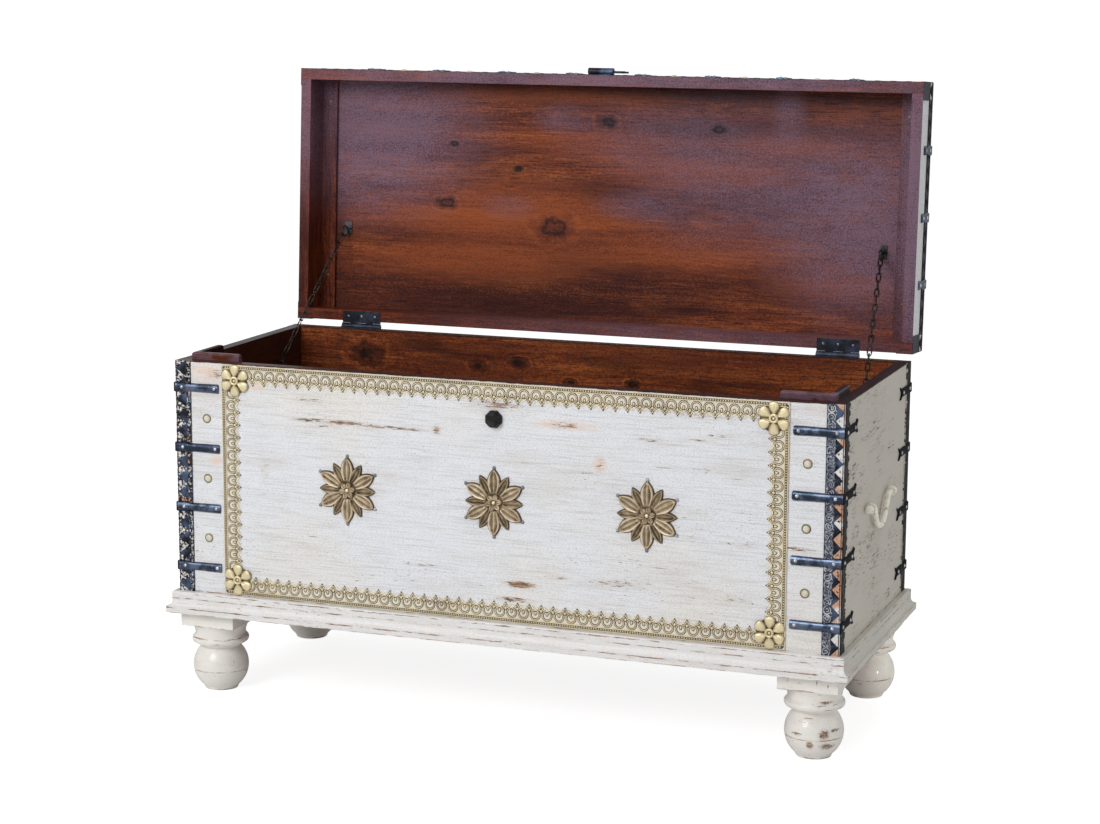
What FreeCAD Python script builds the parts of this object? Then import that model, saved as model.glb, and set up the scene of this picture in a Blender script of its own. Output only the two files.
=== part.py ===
import FreeCAD, Part
import Sketcher
import math
import os

# A wooden dowry chest with a hinged lid, turned feet, iron straps and brass ornament.
# Millimetres. X runs along the front, Y from front to back, Z up. The solids are drawn
# about the middle of the case on the floor, and one shift in Y at the end of each
# placement puts the origin under the middle of the whole object with its lid open.

Vector = FreeCAD.Vector
doc = FreeCAD.newDocument("dowry_chest")
sheet = doc.addObject("Spreadsheet::Sheet", "sizes")

SIZES = (
    # Case boards
    ("box_length", 1150.0), ("box_depth", 456.0), ("case_height", 433.5),
    ("board_thick", 20.0), ("bottom_thick", 15.0),
    # Plinth moulding, measured out from the wall and up from the case bottom
    ("plinth_out", 19.0), ("plinth_lip", 11.0), ("plinth_step", 2.0), ("plinth_neck", 11.0),
    ("plinth_cove_top", 23.5), ("plinth_height", 36.5), ("plinth_round", 2.5),
    # Turned feet: radii and heights from the floor
    ("foot_block", 98.0), ("foot_block_height", 25.5), ("foot_turned", 116.0),
    ("foot_pad_floor", 28.0), ("foot_pad_radius", 30.5),
    ("foot_ball_radius", 47.3), ("foot_ball_rise", 41.75), ("foot_score_rise", 36.0),
    ("foot_score_half", 1.1), ("foot_score_deep", 1.2), ("foot_neck_radius", 33.5),
    ("foot_bead_under", 45.2), ("foot_bead_low", 82.5),
    ("foot_bead_high", 94.5), ("foot_bead_round", 7.0), ("foot_flare_round", 26.0),
    ("foot_waist_radius", 43.2), ("foot_waist_rise", 97.0), ("foot_bell_start", 100.0),
    ("foot_bell_radius", 48.5), ("foot_bell_round", 40.0),
    # Locating cleats inside the front corners
    ("cleat_thick", 12.0), ("cleat_front", 88.0), ("cleat_side", 91.0),
    ("cleat_stand", 12.0), ("cleat_down", 28.0), ("cleat_round", 4.0),
    # Corner strips and the straps round the corners
    ("strip_thick", 1.0), ("strip_front", 28.0), ("strip_side", 30.0),
    ("strap_wide", 16.0), ("strap_thick", 3.2), ("strap_bevel", 2.2),
    ("strap_front", 80.0), ("strap_side", 76.0), ("strap_first", 45.0), ("strap_pitch", 102.5),
    ("nail_radius", 3.2), ("nail_high", 1.4), ("nail_inset", 11.0), ("nail_end", 8.0), ("nail_fork", 18.0),
    ("stud_radius", 6.5), ("stud_high", 3.4), ("stud_inset", 56.5),
    # Brass border, rosettes and flowers on the front
    ("border_inset", 86.0), ("border_margin", 2.0), ("border_wide", 27.0),
    ("border_thick", 1.2), ("border_rope", 7.5), ("border_rope_high", 2.2),
    ("border_pitch", 20.5), ("border_drop", 7.0),
    ("rosette_radius", 27.0), ("rosette_high", 2.4), ("rosette_heart", 7.0),
    ("rosette_heart_high", 3.0), ("rosette_inset", 111.0), ("rosette_drop", 28.0),
    ("flower_radius", 61.0), ("flower_pitch", 260.0),
    ("flower_drop", 198.6), ("flower_high", 2.4), ("flower_heart", 13.0),
    ("flower_heart_high", 4.0), ("flower_nail_ring", 55.0),
    # Lock boss and hasp
    ("boss_radius", 15.0), ("boss_high", 14.0), ("boss_drop", 61.3),
    ("hasp_knuckle", 6.2), ("hasp_axis_off", 6.6), ("hasp_axis_rise", 12.0),
    ("hasp_barrel", 46.0), ("hasp_pin", 2.6), ("hasp_pin_tail", 21.0), ("hasp_tail_wide", 9.0),
    ("hasp_arm_wide", 15.0), ("hasp_arm_thick", 3.2), ("hasp_ring", 24.5), ("hasp_hole", 17.6),
    ("hasp_plate_wide", 40.0), ("hasp_plate_high", 24.0), ("hasp_plate_thick", 1.6),
    # Butt hinges between case and lid
    ("hinge_long", 75.0), ("hinge_place", 446.5), ("hinge_leaf", 18.0), ("hinge_thick", 1.85),
    ("hinge_knuckle", 5.75), ("hinge_pin", 2.6), ("hinge_behind", 9.5), ("hinge_play", 0.3),
    ("lid_gap", 1.5),
    # Lid
    ("lid_rail", 19.0), ("lid_rail_high", 61.0), ("lid_panel_thick", 12.0),
    ("batten_wide", 28.0), ("batten_thick", 6.0), ("edge_down", 25.0), ("edge_in", 28.0),
    ("lid_strap_down", 50.0), ("lid_strap_in", 80.0), ("lid_strap_pitch", 128.0),
    ("lid_side_pitch", 114.0), ("lid_stud_rise", 30.0),
    # Drop handles on the sides
    ("handle_rod", 4.5), ("handle_off", 8.5), ("handle_half", 82.0), ("handle_drop", 42.0),
    ("handle_rise", 382.0), ("handle_ball", 7.0), ("handle_straight", 24.0),
    ("handle_bend", 14.0), ("eye_wire", 1.6), ("eye_play", 0.4),
    # Chains, their eyes and rings
    ("link_wire", 1.4), ("link_wide", 9.6), ("link_play", 0.3), ("hook_play", 0.6), ("chain_ring", 10.0),
    ("chain_ring_wire", 1.5), ("chain_eye", 6.0), ("chain_eye_wire", 1.3),
    ("chain_box_inset", 7.0), ("chain_lid_inset", 71.0), ("chain_lid_forward", 166.0),
    ("chain_eye_reach", 11.0), ("chain_box_drop", 50.0), ("chain_left_back", 112.0),
    ("chain_right_back", 0.0), ("chain_middle_gap", 1.6),
    ("plate_wide", 15.0), ("plate_long", 24.0), ("plate_thick", 1.6),
    # Running clearance
    ("play", 0.3),
)

# Angles and counts
LID_OPEN = 93.5
HANDLE_LEAN = 54.0
STRAPS_A_CORNER = 4
LEFT_LINKS = (8, 7)
RIGHT_LINKS = (8, 11)
LEFT_SPLIT_SHARE = 0.50
RIGHT_SPLIT_SHARE = 0.40

for row, (name, value) in enumerate(SIZES, start=1):
    sheet.set("A%d" % row, name)
    sheet.set("B%d" % row, str(value))
    sheet.setAlias("B%d" % row, name)
doc.recompute()


class Sizes:
    """The sheet's values under their names."""


s = Sizes()
for name, value in SIZES:
    setattr(s, name, float(sheet.get(name)))

# Places that several pieces share
half_length = s.box_length / 2
half_depth = s.box_depth / 2
case_bottom = s.foot_turned + s.foot_block_height
rim = case_bottom + s.case_height
plinth_top = case_bottom + s.plinth_height
lid_bottom = rim + s.lid_gap
lid_under = lid_bottom + s.lid_rail_high
lid_top = lid_under + s.lid_panel_thick
hinge_y = half_depth + s.hinge_behind
hinge_z = rim + s.lid_gap / 2
boss_z = rim - s.boss_drop
hasp_y = -half_depth - s.hasp_axis_off
hasp_z = lid_bottom + s.hasp_axis_rise
hasp_reach = hasp_z - boss_z


def about_hinge(y, z, degrees):
    """A point of the lid's section, turned about the hinge pins."""
    turn = math.radians(degrees)
    dy = y - hinge_y
    dz = z - hinge_z
    turned_y = hinge_y + dy * math.cos(turn) - dz * math.sin(turn)
    turned_z = hinge_z + dy * math.sin(turn) + dz * math.cos(turn)
    return turned_y, turned_z


hasp_tip = about_hinge(hasp_y - s.hasp_arm_thick / 2, hasp_z + hasp_reach + s.hasp_ring, -LID_OPEN)
front_most = -half_depth - s.plinth_out
frame_shift = -(hasp_tip[0] + front_most) / 2

chest_pose = FreeCAD.Placement(Vector(0, frame_shift, 0), FreeCAD.Rotation())
hinge_point = Vector(0, hinge_y, hinge_z)
to_axis = FreeCAD.Placement(hinge_point, FreeCAD.Rotation(Vector(1, 0, 0), -LID_OPEN))
from_axis = FreeCAD.Placement(-hinge_point, FreeCAD.Rotation())
lid_pose = chest_pose.multiply(to_axis).multiply(from_axis)

parts = []


def keep(item, label, pose):
    """Names a sub-part and puts it in its place."""
    item.Label = label
    item.Placement = pose.multiply(item.Placement)
    parts.append(item)
    return item


def feature(label, shape, pose=chest_pose):
    """A sub-part whose solid is worked out from the sheet's sizes."""
    item = doc.addObject("Part::Feature", label)
    item.Shape = shape
    return keep(item, label, pose)


def bound_box(label, length, width, height, corner):
    """A box with its three sizes bound to the sheet."""
    item = doc.addObject("Part::Box", label)
    item.setExpression("Length", length)
    item.setExpression("Width", width)
    item.setExpression("Height", height)
    item.Placement = FreeCAD.Placement(corner, FreeCAD.Rotation())
    return item


def board(label, length, width, height, corner, pose=chest_pose):
    """A plain board."""
    return keep(bound_box(label, length, width, height, corner), label, pose)


def cut_board(label, length, width, height, corner, cutters, pose=chest_pose):
    """A board with boxes cut out of it."""
    base = bound_box(label + "_blank", length, width, height, corner)
    for count, cutter in enumerate(cutters):
        cut = doc.addObject("Part::Cut", "%s_cut_%d" % (label, count))
        cut.Base = base
        cut.Tool = bound_box("%s_tool_%d" % (label, count), *cutter)
        base = cut
    return keep(base, label, pose)


def solid_between(rings, closed=False):
    """A solid with flat sides through rings of as many points each, capped at both ends."""
    faces = []
    count = len(rings[0])
    last = len(rings) if closed else len(rings) - 1
    for index in range(last):
        near = rings[index]
        far = rings[(index + 1) % len(rings)]
        for corner in range(count):
            after = (corner + 1) % count
            quad = [near[corner], near[after], far[after], far[corner], near[corner]]
            faces.append(Part.Face(Part.makePolygon(quad)))
    if not closed:
        for ring in (rings[0], rings[-1]):
            faces.append(Part.Face(Part.makePolygon(ring + ring[:1])))
    solid = Part.makeSolid(Part.makeShell(faces))
    if solid.Volume < 0:
        solid.reverse()
    return solid


def prism(points, along):
    """A flat outline pushed along a vector."""
    return Part.Face(Part.makePolygon(points + points[:1])).extrude(along)


def wire_loop(path, normal, radius, sides):
    """A closed loop of wire with a flat-sided section, bent in the plane of normal."""
    rings = []
    count = len(path)
    for index in range(count):
        before = (path[index] - path[index - 1]).normalize()
        after = (path[(index + 1) % count] - path[index]).normalize()
        out = (before + after).cross(normal).normalize()
        stretch = 1 / math.sqrt((1 + before.dot(after)) / 2)
        ring = []
        for side in range(sides):
            angle = 2 * math.pi * (side + 0.5) / sides
            across = out * (radius * math.cos(angle) * stretch)
            ring.append(path[index] + across + normal * (radius * math.sin(angle)))
        rings.append(ring)
    return solid_between(rings, closed=True)


def flat_circle(radius, count):
    """The corner radius of a regular outline whose sides touch a circle."""
    return radius / math.cos(math.pi / count)


def circle_points(centre, first, second, radius, count):
    """Points round a circle in the plane of two unit vectors."""
    points = []
    for index in range(count):
        angle = 2 * math.pi * (index + 0.5) / count
        points.append(centre + first * (radius * math.cos(angle)) + second * (radius * math.sin(angle)))
    return points


DOME_SHARES = ((1.0, 0.0), (0.78, 0.62), (0.36, 1.0))
DOME_SIDES = 8


def dome(centre, out, radius, high, sides=DOME_SIDES):
    """A domed nail or stud head that stands on a face, with out as the face's normal."""
    first = Vector(1, 0, 0) if abs(out.x) < 0.5 else Vector(0, 1, 0)
    second = out.cross(first)
    rings = []
    for radius_share, high_share in DOME_SHARES:
        middle = centre + out * (high * high_share)
        rings.append(circle_points(middle, first, second, radius * radius_share, sides))
    return solid_between(rings)


# Each row: distance from the strap's end as a share of its width, then half width as a share
STRAP_SQUARE_SHARES = ((0.0, 0.4), (0.1, 0.5))
STRAP_FORK_SHARES = ((0.0, 0.74), (0.55, 0.45), (1.1, 0.5))
# The same near the bend, from the bend
STRAP_BEND_SHARES = ((1.6, 0.46), (0.75, 0.6), (0.0, 0.6))
FORK_DEEP_SHARE = 0.5
FORK_WIDE_SHARE = 0.66


def bent_strap(corner, leg_a, long_a, leg_b, long_b, forked=False):
    """An iron strap bent over an edge and widened at the bend. The first leg ends square, and
    the second too or in a fork."""
    across = leg_a.cross(leg_b)
    inset = s.strap_bevel
    wide = s.strap_wide

    def ring(middle, out, half):
        base = middle + across * half
        top = middle + across * (half - inset) + out * s.strap_thick
        top_far = middle - across * (half - inset) + out * s.strap_thick
        return [base, top, top_far, middle - across * half]

    rings = []
    for reach, half_share in STRAP_SQUARE_SHARES:
        rings.append(ring(corner + leg_a * (long_a - wide * reach), -leg_b, wide * half_share))
    for reach, half_share in STRAP_BEND_SHARES:
        out = -leg_b if reach else -leg_a - leg_b
        rings.append(ring(corner + leg_a * (wide * reach), out, wide * half_share))
    for reach, half_share in reversed(STRAP_BEND_SHARES[:-1]):
        rings.append(ring(corner + leg_b * (wide * reach), -leg_a, wide * half_share))
    end = STRAP_FORK_SHARES if forked else STRAP_SQUARE_SHARES
    for reach, half_share in reversed(end):
        rings.append(ring(corner + leg_b * (long_b - wide * reach), -leg_a, wide * half_share))
    strap = solid_between(rings)
    if not forked:
        return strap
    low = corner + leg_a * inset
    half = across * (wide * FORK_WIDE_SHARE)
    far = low + leg_b * (long_b + inset)
    notch = prism([low + leg_b * (long_b - wide * FORK_DEEP_SHARE), far + half, far - half],
                  -leg_a * (s.strap_thick + 2 * inset))
    return strap.cut(notch)


def strap_nail_heads(corner, leg_a, long_a, leg_b, long_b, forked=False):
    """Two nail heads on each leg of a bent strap."""
    heads = []
    end = s.nail_fork if forked else s.nail_end
    for leg, place, out in ((leg_a, s.nail_inset, -leg_b), (leg_a, long_a - s.nail_end, -leg_b),
                            (leg_b, s.nail_inset, -leg_a), (leg_b, long_b - end, -leg_a)):
        seat = corner + leg * place + out * s.strap_thick
        heads.append(dome(seat, out, s.nail_radius, s.nail_high, 6))
    return heads


def angle_strip(corner, leg_a, long_a, leg_b, long_b, along):
    """A thin metal angle over an edge; the legs run from the corner along both faces."""
    thick = s.strip_thick
    points = [
        corner,
        corner + leg_a * long_a,
        corner + leg_a * long_a - leg_b * thick,
        corner - (leg_a + leg_b) * thick,
        corner + leg_b * long_b - leg_a * thick,
        corner + leg_b * long_b,
    ]
    return prism(points, along)


def case_boards():
    """Front and back boards run the full length, the sides stand between them."""
    board("front_board", "sizes.box_length", "sizes.board_thick", "sizes.case_height",
          Vector(-half_length, -half_depth, case_bottom))
    mortises = []
    for side in (-1, 1):
        corner = Vector(side * s.hinge_place - s.hinge_long / 2,
                        half_depth - s.hinge_leaf,
                        hinge_z - s.hinge_play / 2 - s.hinge_thick)
        mortises.append(("sizes.hinge_long", "sizes.hinge_leaf * 2",
                         "sizes.hinge_thick * 2", corner))
    cut_board("back_board", "sizes.box_length", "sizes.board_thick", "sizes.case_height",
              Vector(-half_length, half_depth - s.board_thick, case_bottom), mortises)
    for side, label in ((-1, "left_side_board"), (1, "right_side_board")):
        x = -half_length if side < 0 else half_length - s.board_thick
        board(label, "sizes.board_thick", "sizes.box_depth - 2 * sizes.board_thick",
              "sizes.case_height", Vector(x, -half_depth + s.board_thick, case_bottom))
    board("bottom_board", "sizes.box_length - 2 * sizes.board_thick",
          "sizes.box_depth - 2 * sizes.board_thick", "sizes.bottom_thick",
          Vector(-half_length + s.board_thick, -half_depth + s.board_thick, case_bottom))


def mitre_wire(side_x, side_y):
    """The plinth's profile on the diagonal plane through one corner of the case."""
    def point(out, up):
        return Vector(side_x * (half_length + out), side_y * (half_depth + out), case_bottom + up)

    lip_in = s.plinth_out - s.plinth_step
    cove_drop = s.plinth_cove_top - s.plinth_lip
    cove_in = lip_in - s.plinth_neck
    slack = 1 - math.sqrt(0.5)
    cove_mid = point(s.plinth_neck + cove_in * slack, s.plinth_lip + cove_drop * slack)
    round_low = s.plinth_height - s.plinth_round
    round_in = s.plinth_neck - s.plinth_round
    round_mid = point(round_in + s.plinth_round * (1 - slack), round_low + s.plinth_round * (1 - slack))
    edges = [
        Part.makeLine(point(0, 0), point(s.plinth_out, 0)),
        Part.makeLine(point(s.plinth_out, 0), point(s.plinth_out, s.plinth_lip)),
        Part.makeLine(point(s.plinth_out, s.plinth_lip), point(lip_in, s.plinth_lip)),
        Part.Arc(point(lip_in, s.plinth_lip), cove_mid,
                 point(s.plinth_neck, s.plinth_cove_top)).toShape(),
        Part.makeLine(point(s.plinth_neck, s.plinth_cove_top), point(s.plinth_neck, round_low)),
        Part.Arc(point(s.plinth_neck, round_low), round_mid,
                 point(round_in, s.plinth_height)).toShape(),
        Part.makeLine(point(round_in, s.plinth_height), point(0, s.plinth_height)),
        Part.makeLine(point(0, s.plinth_height), point(0, 0)),
    ]
    return Part.Wire(edges)


def plinth():
    """Four lengths of moulding, mitred at the corners."""
    runs = (
        ("plinth_front", (-1, -1), (1, -1)), ("plinth_right", (1, -1), (1, 1)),
        ("plinth_back", (1, 1), (-1, 1)), ("plinth_left", (-1, 1), (-1, -1)),
    )
    for label, start, end in runs:
        run = Part.makeLoft([mitre_wire(*start), mitre_wire(*end)], True, True)
        feature(label, run)


def plane_of(body, role):
    """One of the body's own origin planes."""
    for item in body.Origin.OriginFeatures:
        if item.Role == role:
            return item
    raise ValueError(role)


def bound_profile(body, corners, arcs):
    """A closed sketch on the XZ plane. Each corner is a pair of sheet names, None for zero,
    and arcs gives the radius name and the bulge side of the edge that starts at a corner."""
    sketch = body.newObject("Sketcher::SketchObject", "profile")
    sketch.AttachmentSupport = [(plane_of(body, "XZ_Plane"), "")]
    sketch.MapMode = "FlatFace"

    def value(name):
        return getattr(s, name) if name else 0.0

    points = [Vector(value(x), value(y), 0) for x, y in corners]
    ends = []
    for index, start in enumerate(points):
        end = points[(index + 1) % len(points)]
        if index in arcs:
            name, side = arcs[index]
            chord = end - start
            middle = (start + end) * 0.5
            radius = value(name)
            far = math.sqrt(radius ** 2 - (chord.Length / 2) ** 2)
            centre = middle - Vector(chord.y, -chord.x, 0).normalize() * (side * far)
            first, final = (start, end) if side > 0 else (end, start)
            low = math.atan2(first.y - centre.y, first.x - centre.x)
            high = math.atan2(final.y - centre.y, final.x - centre.x)
            if high < low:
                high += 2 * math.pi
            circle = Part.Circle(centre, Vector(0, 0, 1), radius)
            sketch.addGeometry(Part.ArcOfCircle(circle, low, high), False)
            ends.append((1, 2) if side > 0 else (2, 1))
        else:
            sketch.addGeometry(Part.LineSegment(start, end), False)
            ends.append((1, 2))
    for index in range(len(points)):
        after = (index + 1) % len(points)
        link = Sketcher.Constraint("Coincident", index, ends[index][1], after, ends[after][0])
        sketch.addConstraint(link)
    for index, (x, y) in enumerate(corners):
        at = (index, ends[index][0])
        for kind, name, axis in (("DistanceX", x, -2), ("DistanceY", y, -1)):
            if name is None:
                sketch.addConstraint(Sketcher.Constraint("PointOnObject", at[0], at[1], axis))
                continue
            number = sketch.addConstraint(Sketcher.Constraint(kind, -1, 1, at[0], at[1], value(name)))
            sketch.setExpression("Constraints[%d]" % number, "sizes." + name)
    for index, (name, side) in arcs.items():
        number = sketch.addConstraint(Sketcher.Constraint("Radius", index, value(name)))
        sketch.setExpression("Constraints[%d]" % number, "sizes." + name)
    return sketch


def derived(name, value):
    """Adds a worked-out value to the sheet, so that a sketch can be bound to it."""
    row = len(SIZES) + 2 + len(derived_names)
    derived_names.append(name)
    sheet.set("A%d" % row, name)
    sheet.set("B%d" % row, repr(value))
    sheet.setAlias("B%d" % row, name)
    setattr(s, name, value)


derived_names = []


def foot_sizes():
    """Where the ball of the foot meets its pad, its scored line and its neck."""
    def ball_at(rise):
        return math.sqrt(s.foot_ball_radius ** 2 - (rise - s.foot_ball_rise) ** 2)

    reach = math.sqrt(s.foot_ball_radius ** 2 - s.foot_pad_radius ** 2)
    derived("foot_pad_top", s.foot_ball_rise - reach)
    derived("foot_score_low", s.foot_score_rise - s.foot_score_half)
    derived("foot_score_high", s.foot_score_rise + s.foot_score_half)
    derived("foot_score_low_r", ball_at(s.foot_score_low))
    derived("foot_score_high_r", ball_at(s.foot_score_high))
    derived("foot_score_floor", ball_at(s.foot_score_rise) - s.foot_score_deep)
    reach = math.sqrt(s.foot_ball_radius ** 2 - s.foot_neck_radius ** 2)
    derived("foot_ball_top", s.foot_ball_rise + reach)
    doc.recompute()


def foot(label, x, y):
    """A turned foot: pad, ball with a scored line, neck, bead, bell and square block."""
    body = doc.addObject("PartDesign::Body", label)
    corners = (
        (None, None), ("foot_pad_floor", None), ("foot_pad_radius", "foot_pad_top"),
        ("foot_score_low_r", "foot_score_low"), ("foot_score_floor", "foot_score_rise"),
        ("foot_score_high_r", "foot_score_high"), ("foot_neck_radius", "foot_ball_top"),
        ("foot_bead_under", "foot_bead_low"), ("foot_bead_under", "foot_bead_high"),
        ("foot_waist_radius", "foot_waist_rise"), ("foot_waist_radius", "foot_bell_start"),
        ("foot_bell_radius", "foot_turned"), (None, "foot_turned"),
    )
    arcs = {
        2: ("foot_ball_radius", 1), 5: ("foot_ball_radius", 1), 6: ("foot_flare_round", -1),
        7: ("foot_bead_round", 1), 10: ("foot_bell_round", -1),
    }
    sketch = bound_profile(body, corners, arcs)
    turned = body.newObject("PartDesign::Revolution", "turned")
    turned.Profile = sketch
    turned.ReferenceAxis = (sketch, ["V_Axis"])
    turned.Angle = 360
    block = body.newObject("Sketcher::SketchObject", "block_outline")
    block.AttachmentSupport = [(plane_of(body, "XY_Plane"), "")]
    block.MapMode = "FlatFace"
    block.setExpression("AttachmentOffset.Base.z", "sizes.foot_turned")
    half = s.foot_block / 2
    square = [Vector(-half, -half, 0), Vector(half, -half, 0), Vector(half, half, 0),
              Vector(-half, half, 0)]
    for index in range(4):
        block.addGeometry(Part.LineSegment(square[index], square[(index + 1) % 4]), False)
    for index in range(4):
        block.addConstraint(Sketcher.Constraint("Coincident", index, 2, (index + 1) % 4, 1))
    for index in (0, 2):
        block.addConstraint(Sketcher.Constraint("Horizontal", index))
        block.addConstraint(Sketcher.Constraint("Vertical", index + 1))
    block.addConstraint(Sketcher.Constraint("Symmetric", 0, 1, 1, 2, -1, 1))
    for index, kind in ((0, "DistanceX"), (1, "DistanceY")):
        number = block.addConstraint(Sketcher.Constraint(kind, index, 1, index, 2, s.foot_block))
        block.setExpression("Constraints[%d]" % number, "sizes.foot_block")
    pad = body.newObject("PartDesign::Pad", "block")
    pad.Profile = block
    pad.setExpression("Length", "sizes.foot_block_height")
    body.Tip = pad
    body.Placement = FreeCAD.Placement(Vector(x, y, 0), FreeCAD.Rotation())
    keep(body, label, chest_pose)


def feet():
    """The outer faces of the blocks are flush with the case."""
    foot_sizes()
    x = half_length - s.foot_block / 2
    y = half_depth - s.foot_block / 2
    for label, side_x, side_y in (("foot_front_left", -1, -1), ("foot_front_right", 1, -1),
                                  ("foot_back_left", -1, 1), ("foot_back_right", 1, 1)):
        foot(label, side_x * x, side_y * y)


def cleats():
    """Angled cleats inside the front corners, which the closed lid drops over."""
    for label, side in (("locating_cleat_left", -1), ("locating_cleat_right", 1)):
        x = side * (half_length - s.board_thick)
        y = -half_depth + s.board_thick
        base = rim - s.cleat_down
        inward = -side
        outline = [
            (0, 0), (s.cleat_front, 0), (s.cleat_front, s.cleat_thick),
            (s.cleat_thick, s.cleat_thick), (s.cleat_thick, s.cleat_side), (0, s.cleat_side),
        ]
        points = [Vector(x + inward * u, y + v, base) for u, v in outline]
        block = prism(points, Vector(0, 0, s.cleat_down + s.cleat_stand))
        top = rim + s.cleat_stand
        upper = [edge for edge in block.Edges
                 if min(vertex.Z for vertex in edge.Vertexes) > top - s.cleat_stand / 2]
        feature(label, block.makeFillet(s.cleat_round, upper))


CORNERS = (("front_left", -1, -1), ("front_right", 1, -1), ("back_left", -1, 1), ("back_right", 1, 1))


def strip_of(side_x, side_y):
    """The metal angle down one corner of the case."""
    corner = Vector(side_x * half_length, side_y * half_depth, plinth_top)
    long = Vector(0, 0, rim - plinth_top)
    return angle_strip(corner, Vector(-side_x, 0, 0), s.strip_front,
                       Vector(0, -side_y, 0), s.strip_side, long)


def corner_ironwork():
    """Strips down the corners, straps bent round them, and the straps' nails."""
    heads = []
    for name, side_x, side_y in CORNERS:
        strip = strip_of(side_x, side_y)
        feature("corner_strip_" + name, strip)
        straps = []
        for count in range(STRAPS_A_CORNER):
            corner = Vector(side_x * half_length, side_y * half_depth,
                            rim - s.strap_first - count * s.strap_pitch)
            legs = (corner, Vector(-side_x, 0, 0), s.strap_front, Vector(0, -side_y, 0), s.strap_side,
                    True)
            straps.append(bent_strap(*legs).cut(strip))
            heads.extend(strap_nail_heads(*legs))
        feature("corner_straps_" + name, Part.makeCompound(straps))
    feature("strap_nails", Part.makeCompound(heads))


def front_studs():
    """Round studs on the front, midway between the straps."""
    studs = []
    for side in (-1, 1):
        for count in range(STRAPS_A_CORNER - 1):
            z = rim - s.strap_first - (count + 0.5) * s.strap_pitch
            seat = Vector(side * (half_length - s.stud_inset), -half_depth, z)
            studs.append(dome(seat, Vector(0, -1, 0), s.stud_radius, s.stud_high))
    feature("front_studs", Part.makeCompound(studs))


# Each row: place along one pitch, then depth, as shares of the pitch and of the drop
PENDANT_SHARES = ((-0.44, 0.0), (-0.3, 0.45), (-0.12, 0.5), (0.0, 1.0), (0.12, 0.5), (0.3, 0.45),
                  (0.44, 0.0))


def border_run(start, along, inward, long):
    """One side of the brass border: a plate with pendants on its inner edge and a raised
    rope along its outer edge, mitred at both ends."""
    out = Vector(0, -1, 0)

    def point(reach, deep):
        return start + along * reach + inward * deep

    wide = s.border_wide
    run = long - 2 * wide
    count = int(run / s.border_pitch)
    pitch = run / count
    outline = [point(0, 0), point(long, 0), point(long - wide, wide)]
    for index in reversed(range(count)):
        middle = wide + (index + 0.5) * pitch
        for place, depth in reversed(PENDANT_SHARES):
            outline.append(point(middle + place * pitch, wide + depth * s.border_drop))
    outline.append(point(wide, wide))
    plate = prism(outline, out * s.border_thick)
    rope = prism([point(0, 0), point(long, 0), point(long - s.border_rope, s.border_rope),
                  point(s.border_rope, s.border_rope)], out * s.border_rope_high)
    return plate.fuse(rope).removeSplitter()


def border():
    """The brass border round the front panel."""
    right = half_length - s.border_inset
    top = rim - s.border_margin
    low = plinth_top + s.border_margin
    y = -half_depth
    x_run = Vector(1, 0, 0)
    z_run = Vector(0, 0, 1)
    feature("border_top", border_run(Vector(-right, y, top), x_run, -z_run, 2 * right))
    feature("border_bottom", border_run(Vector(-right, y, low), x_run, z_run, 2 * right))
    feature("border_left", border_run(Vector(-right, y, low), z_run, x_run, top - low))
    feature("border_right", border_run(Vector(right, y, low), z_run, -x_run, top - low))


def petal_outline(centre, reach, count, turn, steps):
    """A flower's outline; reach gives the outer radius at an angle within one petal."""
    points = []
    for index in range(count * steps):
        angle = 2 * math.pi * index / (count * steps)
        radius = reach(index)
        direction = angle + turn
        points.append(centre + Vector(math.cos(direction), 0, math.sin(direction)) * radius)
    return points


# Radius round one petal, from the notch to the tip and back, as shares of the full radius
ROSETTE_SHARES = (0.55, 0.86, 1.0, 1.0, 0.86)
# Radius round a big petal and the small one after it
FLOWER_SHARES = (1.0, 0.78, 0.5, 0.62, 0.786, 0.62, 0.5, 0.78)
PETALS = 6


def rosettes():
    """Six-petalled brass rosettes over the corners of the border."""
    flowers = []
    out = Vector(0, -1, 0)
    for side in (-1, 1):
        for z in (rim - s.rosette_drop, plinth_top + s.rosette_drop):
            centre = Vector(side * (half_length - s.rosette_inset),
                            -half_depth - s.border_rope_high, z)
            steps = len(ROSETTE_SHARES)
            outline = petal_outline(centre, lambda index: s.rosette_radius * ROSETTE_SHARES[index % steps],
                                    PETALS, math.pi / 6, steps)
            plate = prism(outline, out * s.rosette_high)
            heart = dome(centre + out * s.rosette_high, out, s.rosette_heart, s.rosette_heart_high)
            flowers.append(plate.fuse(heart))
    feature("border_rosettes", Part.makeCompound(flowers))


def flowers():
    """Three large brass flowers along the middle of the front, and their nails."""
    heads = []
    out = Vector(0, -1, 0)
    steps = len(FLOWER_SHARES)
    for label, place in (("flower_left", -1), ("flower_centre", 0), ("flower_right", 1)):
        centre = Vector(place * s.flower_pitch, -half_depth, rim - s.flower_drop)
        outline = petal_outline(centre, lambda index: s.flower_radius * FLOWER_SHARES[index % steps],
                                PETALS, math.pi / 2, steps)
        plate = prism(outline, out * s.flower_high)
        heart = dome(centre + out * s.flower_high, out, s.flower_heart, s.flower_heart_high)
        feature(label, plate.fuse(heart))
        for index in range(PETALS):
            angle = math.pi / 2 + 2 * math.pi * index / PETALS
            seat = Vector(math.cos(angle), 0, math.sin(angle)) * s.flower_nail_ring
            heads.append(dome(centre + seat + out * s.flower_high, out, s.nail_radius, s.nail_high, 6))
    feature("flower_nails", Part.makeCompound(heads))


BOSS_SHARES = ((1.0, 0.0), (1.0, 0.35), (0.82, 0.8), (0.5, 1.0))


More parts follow.
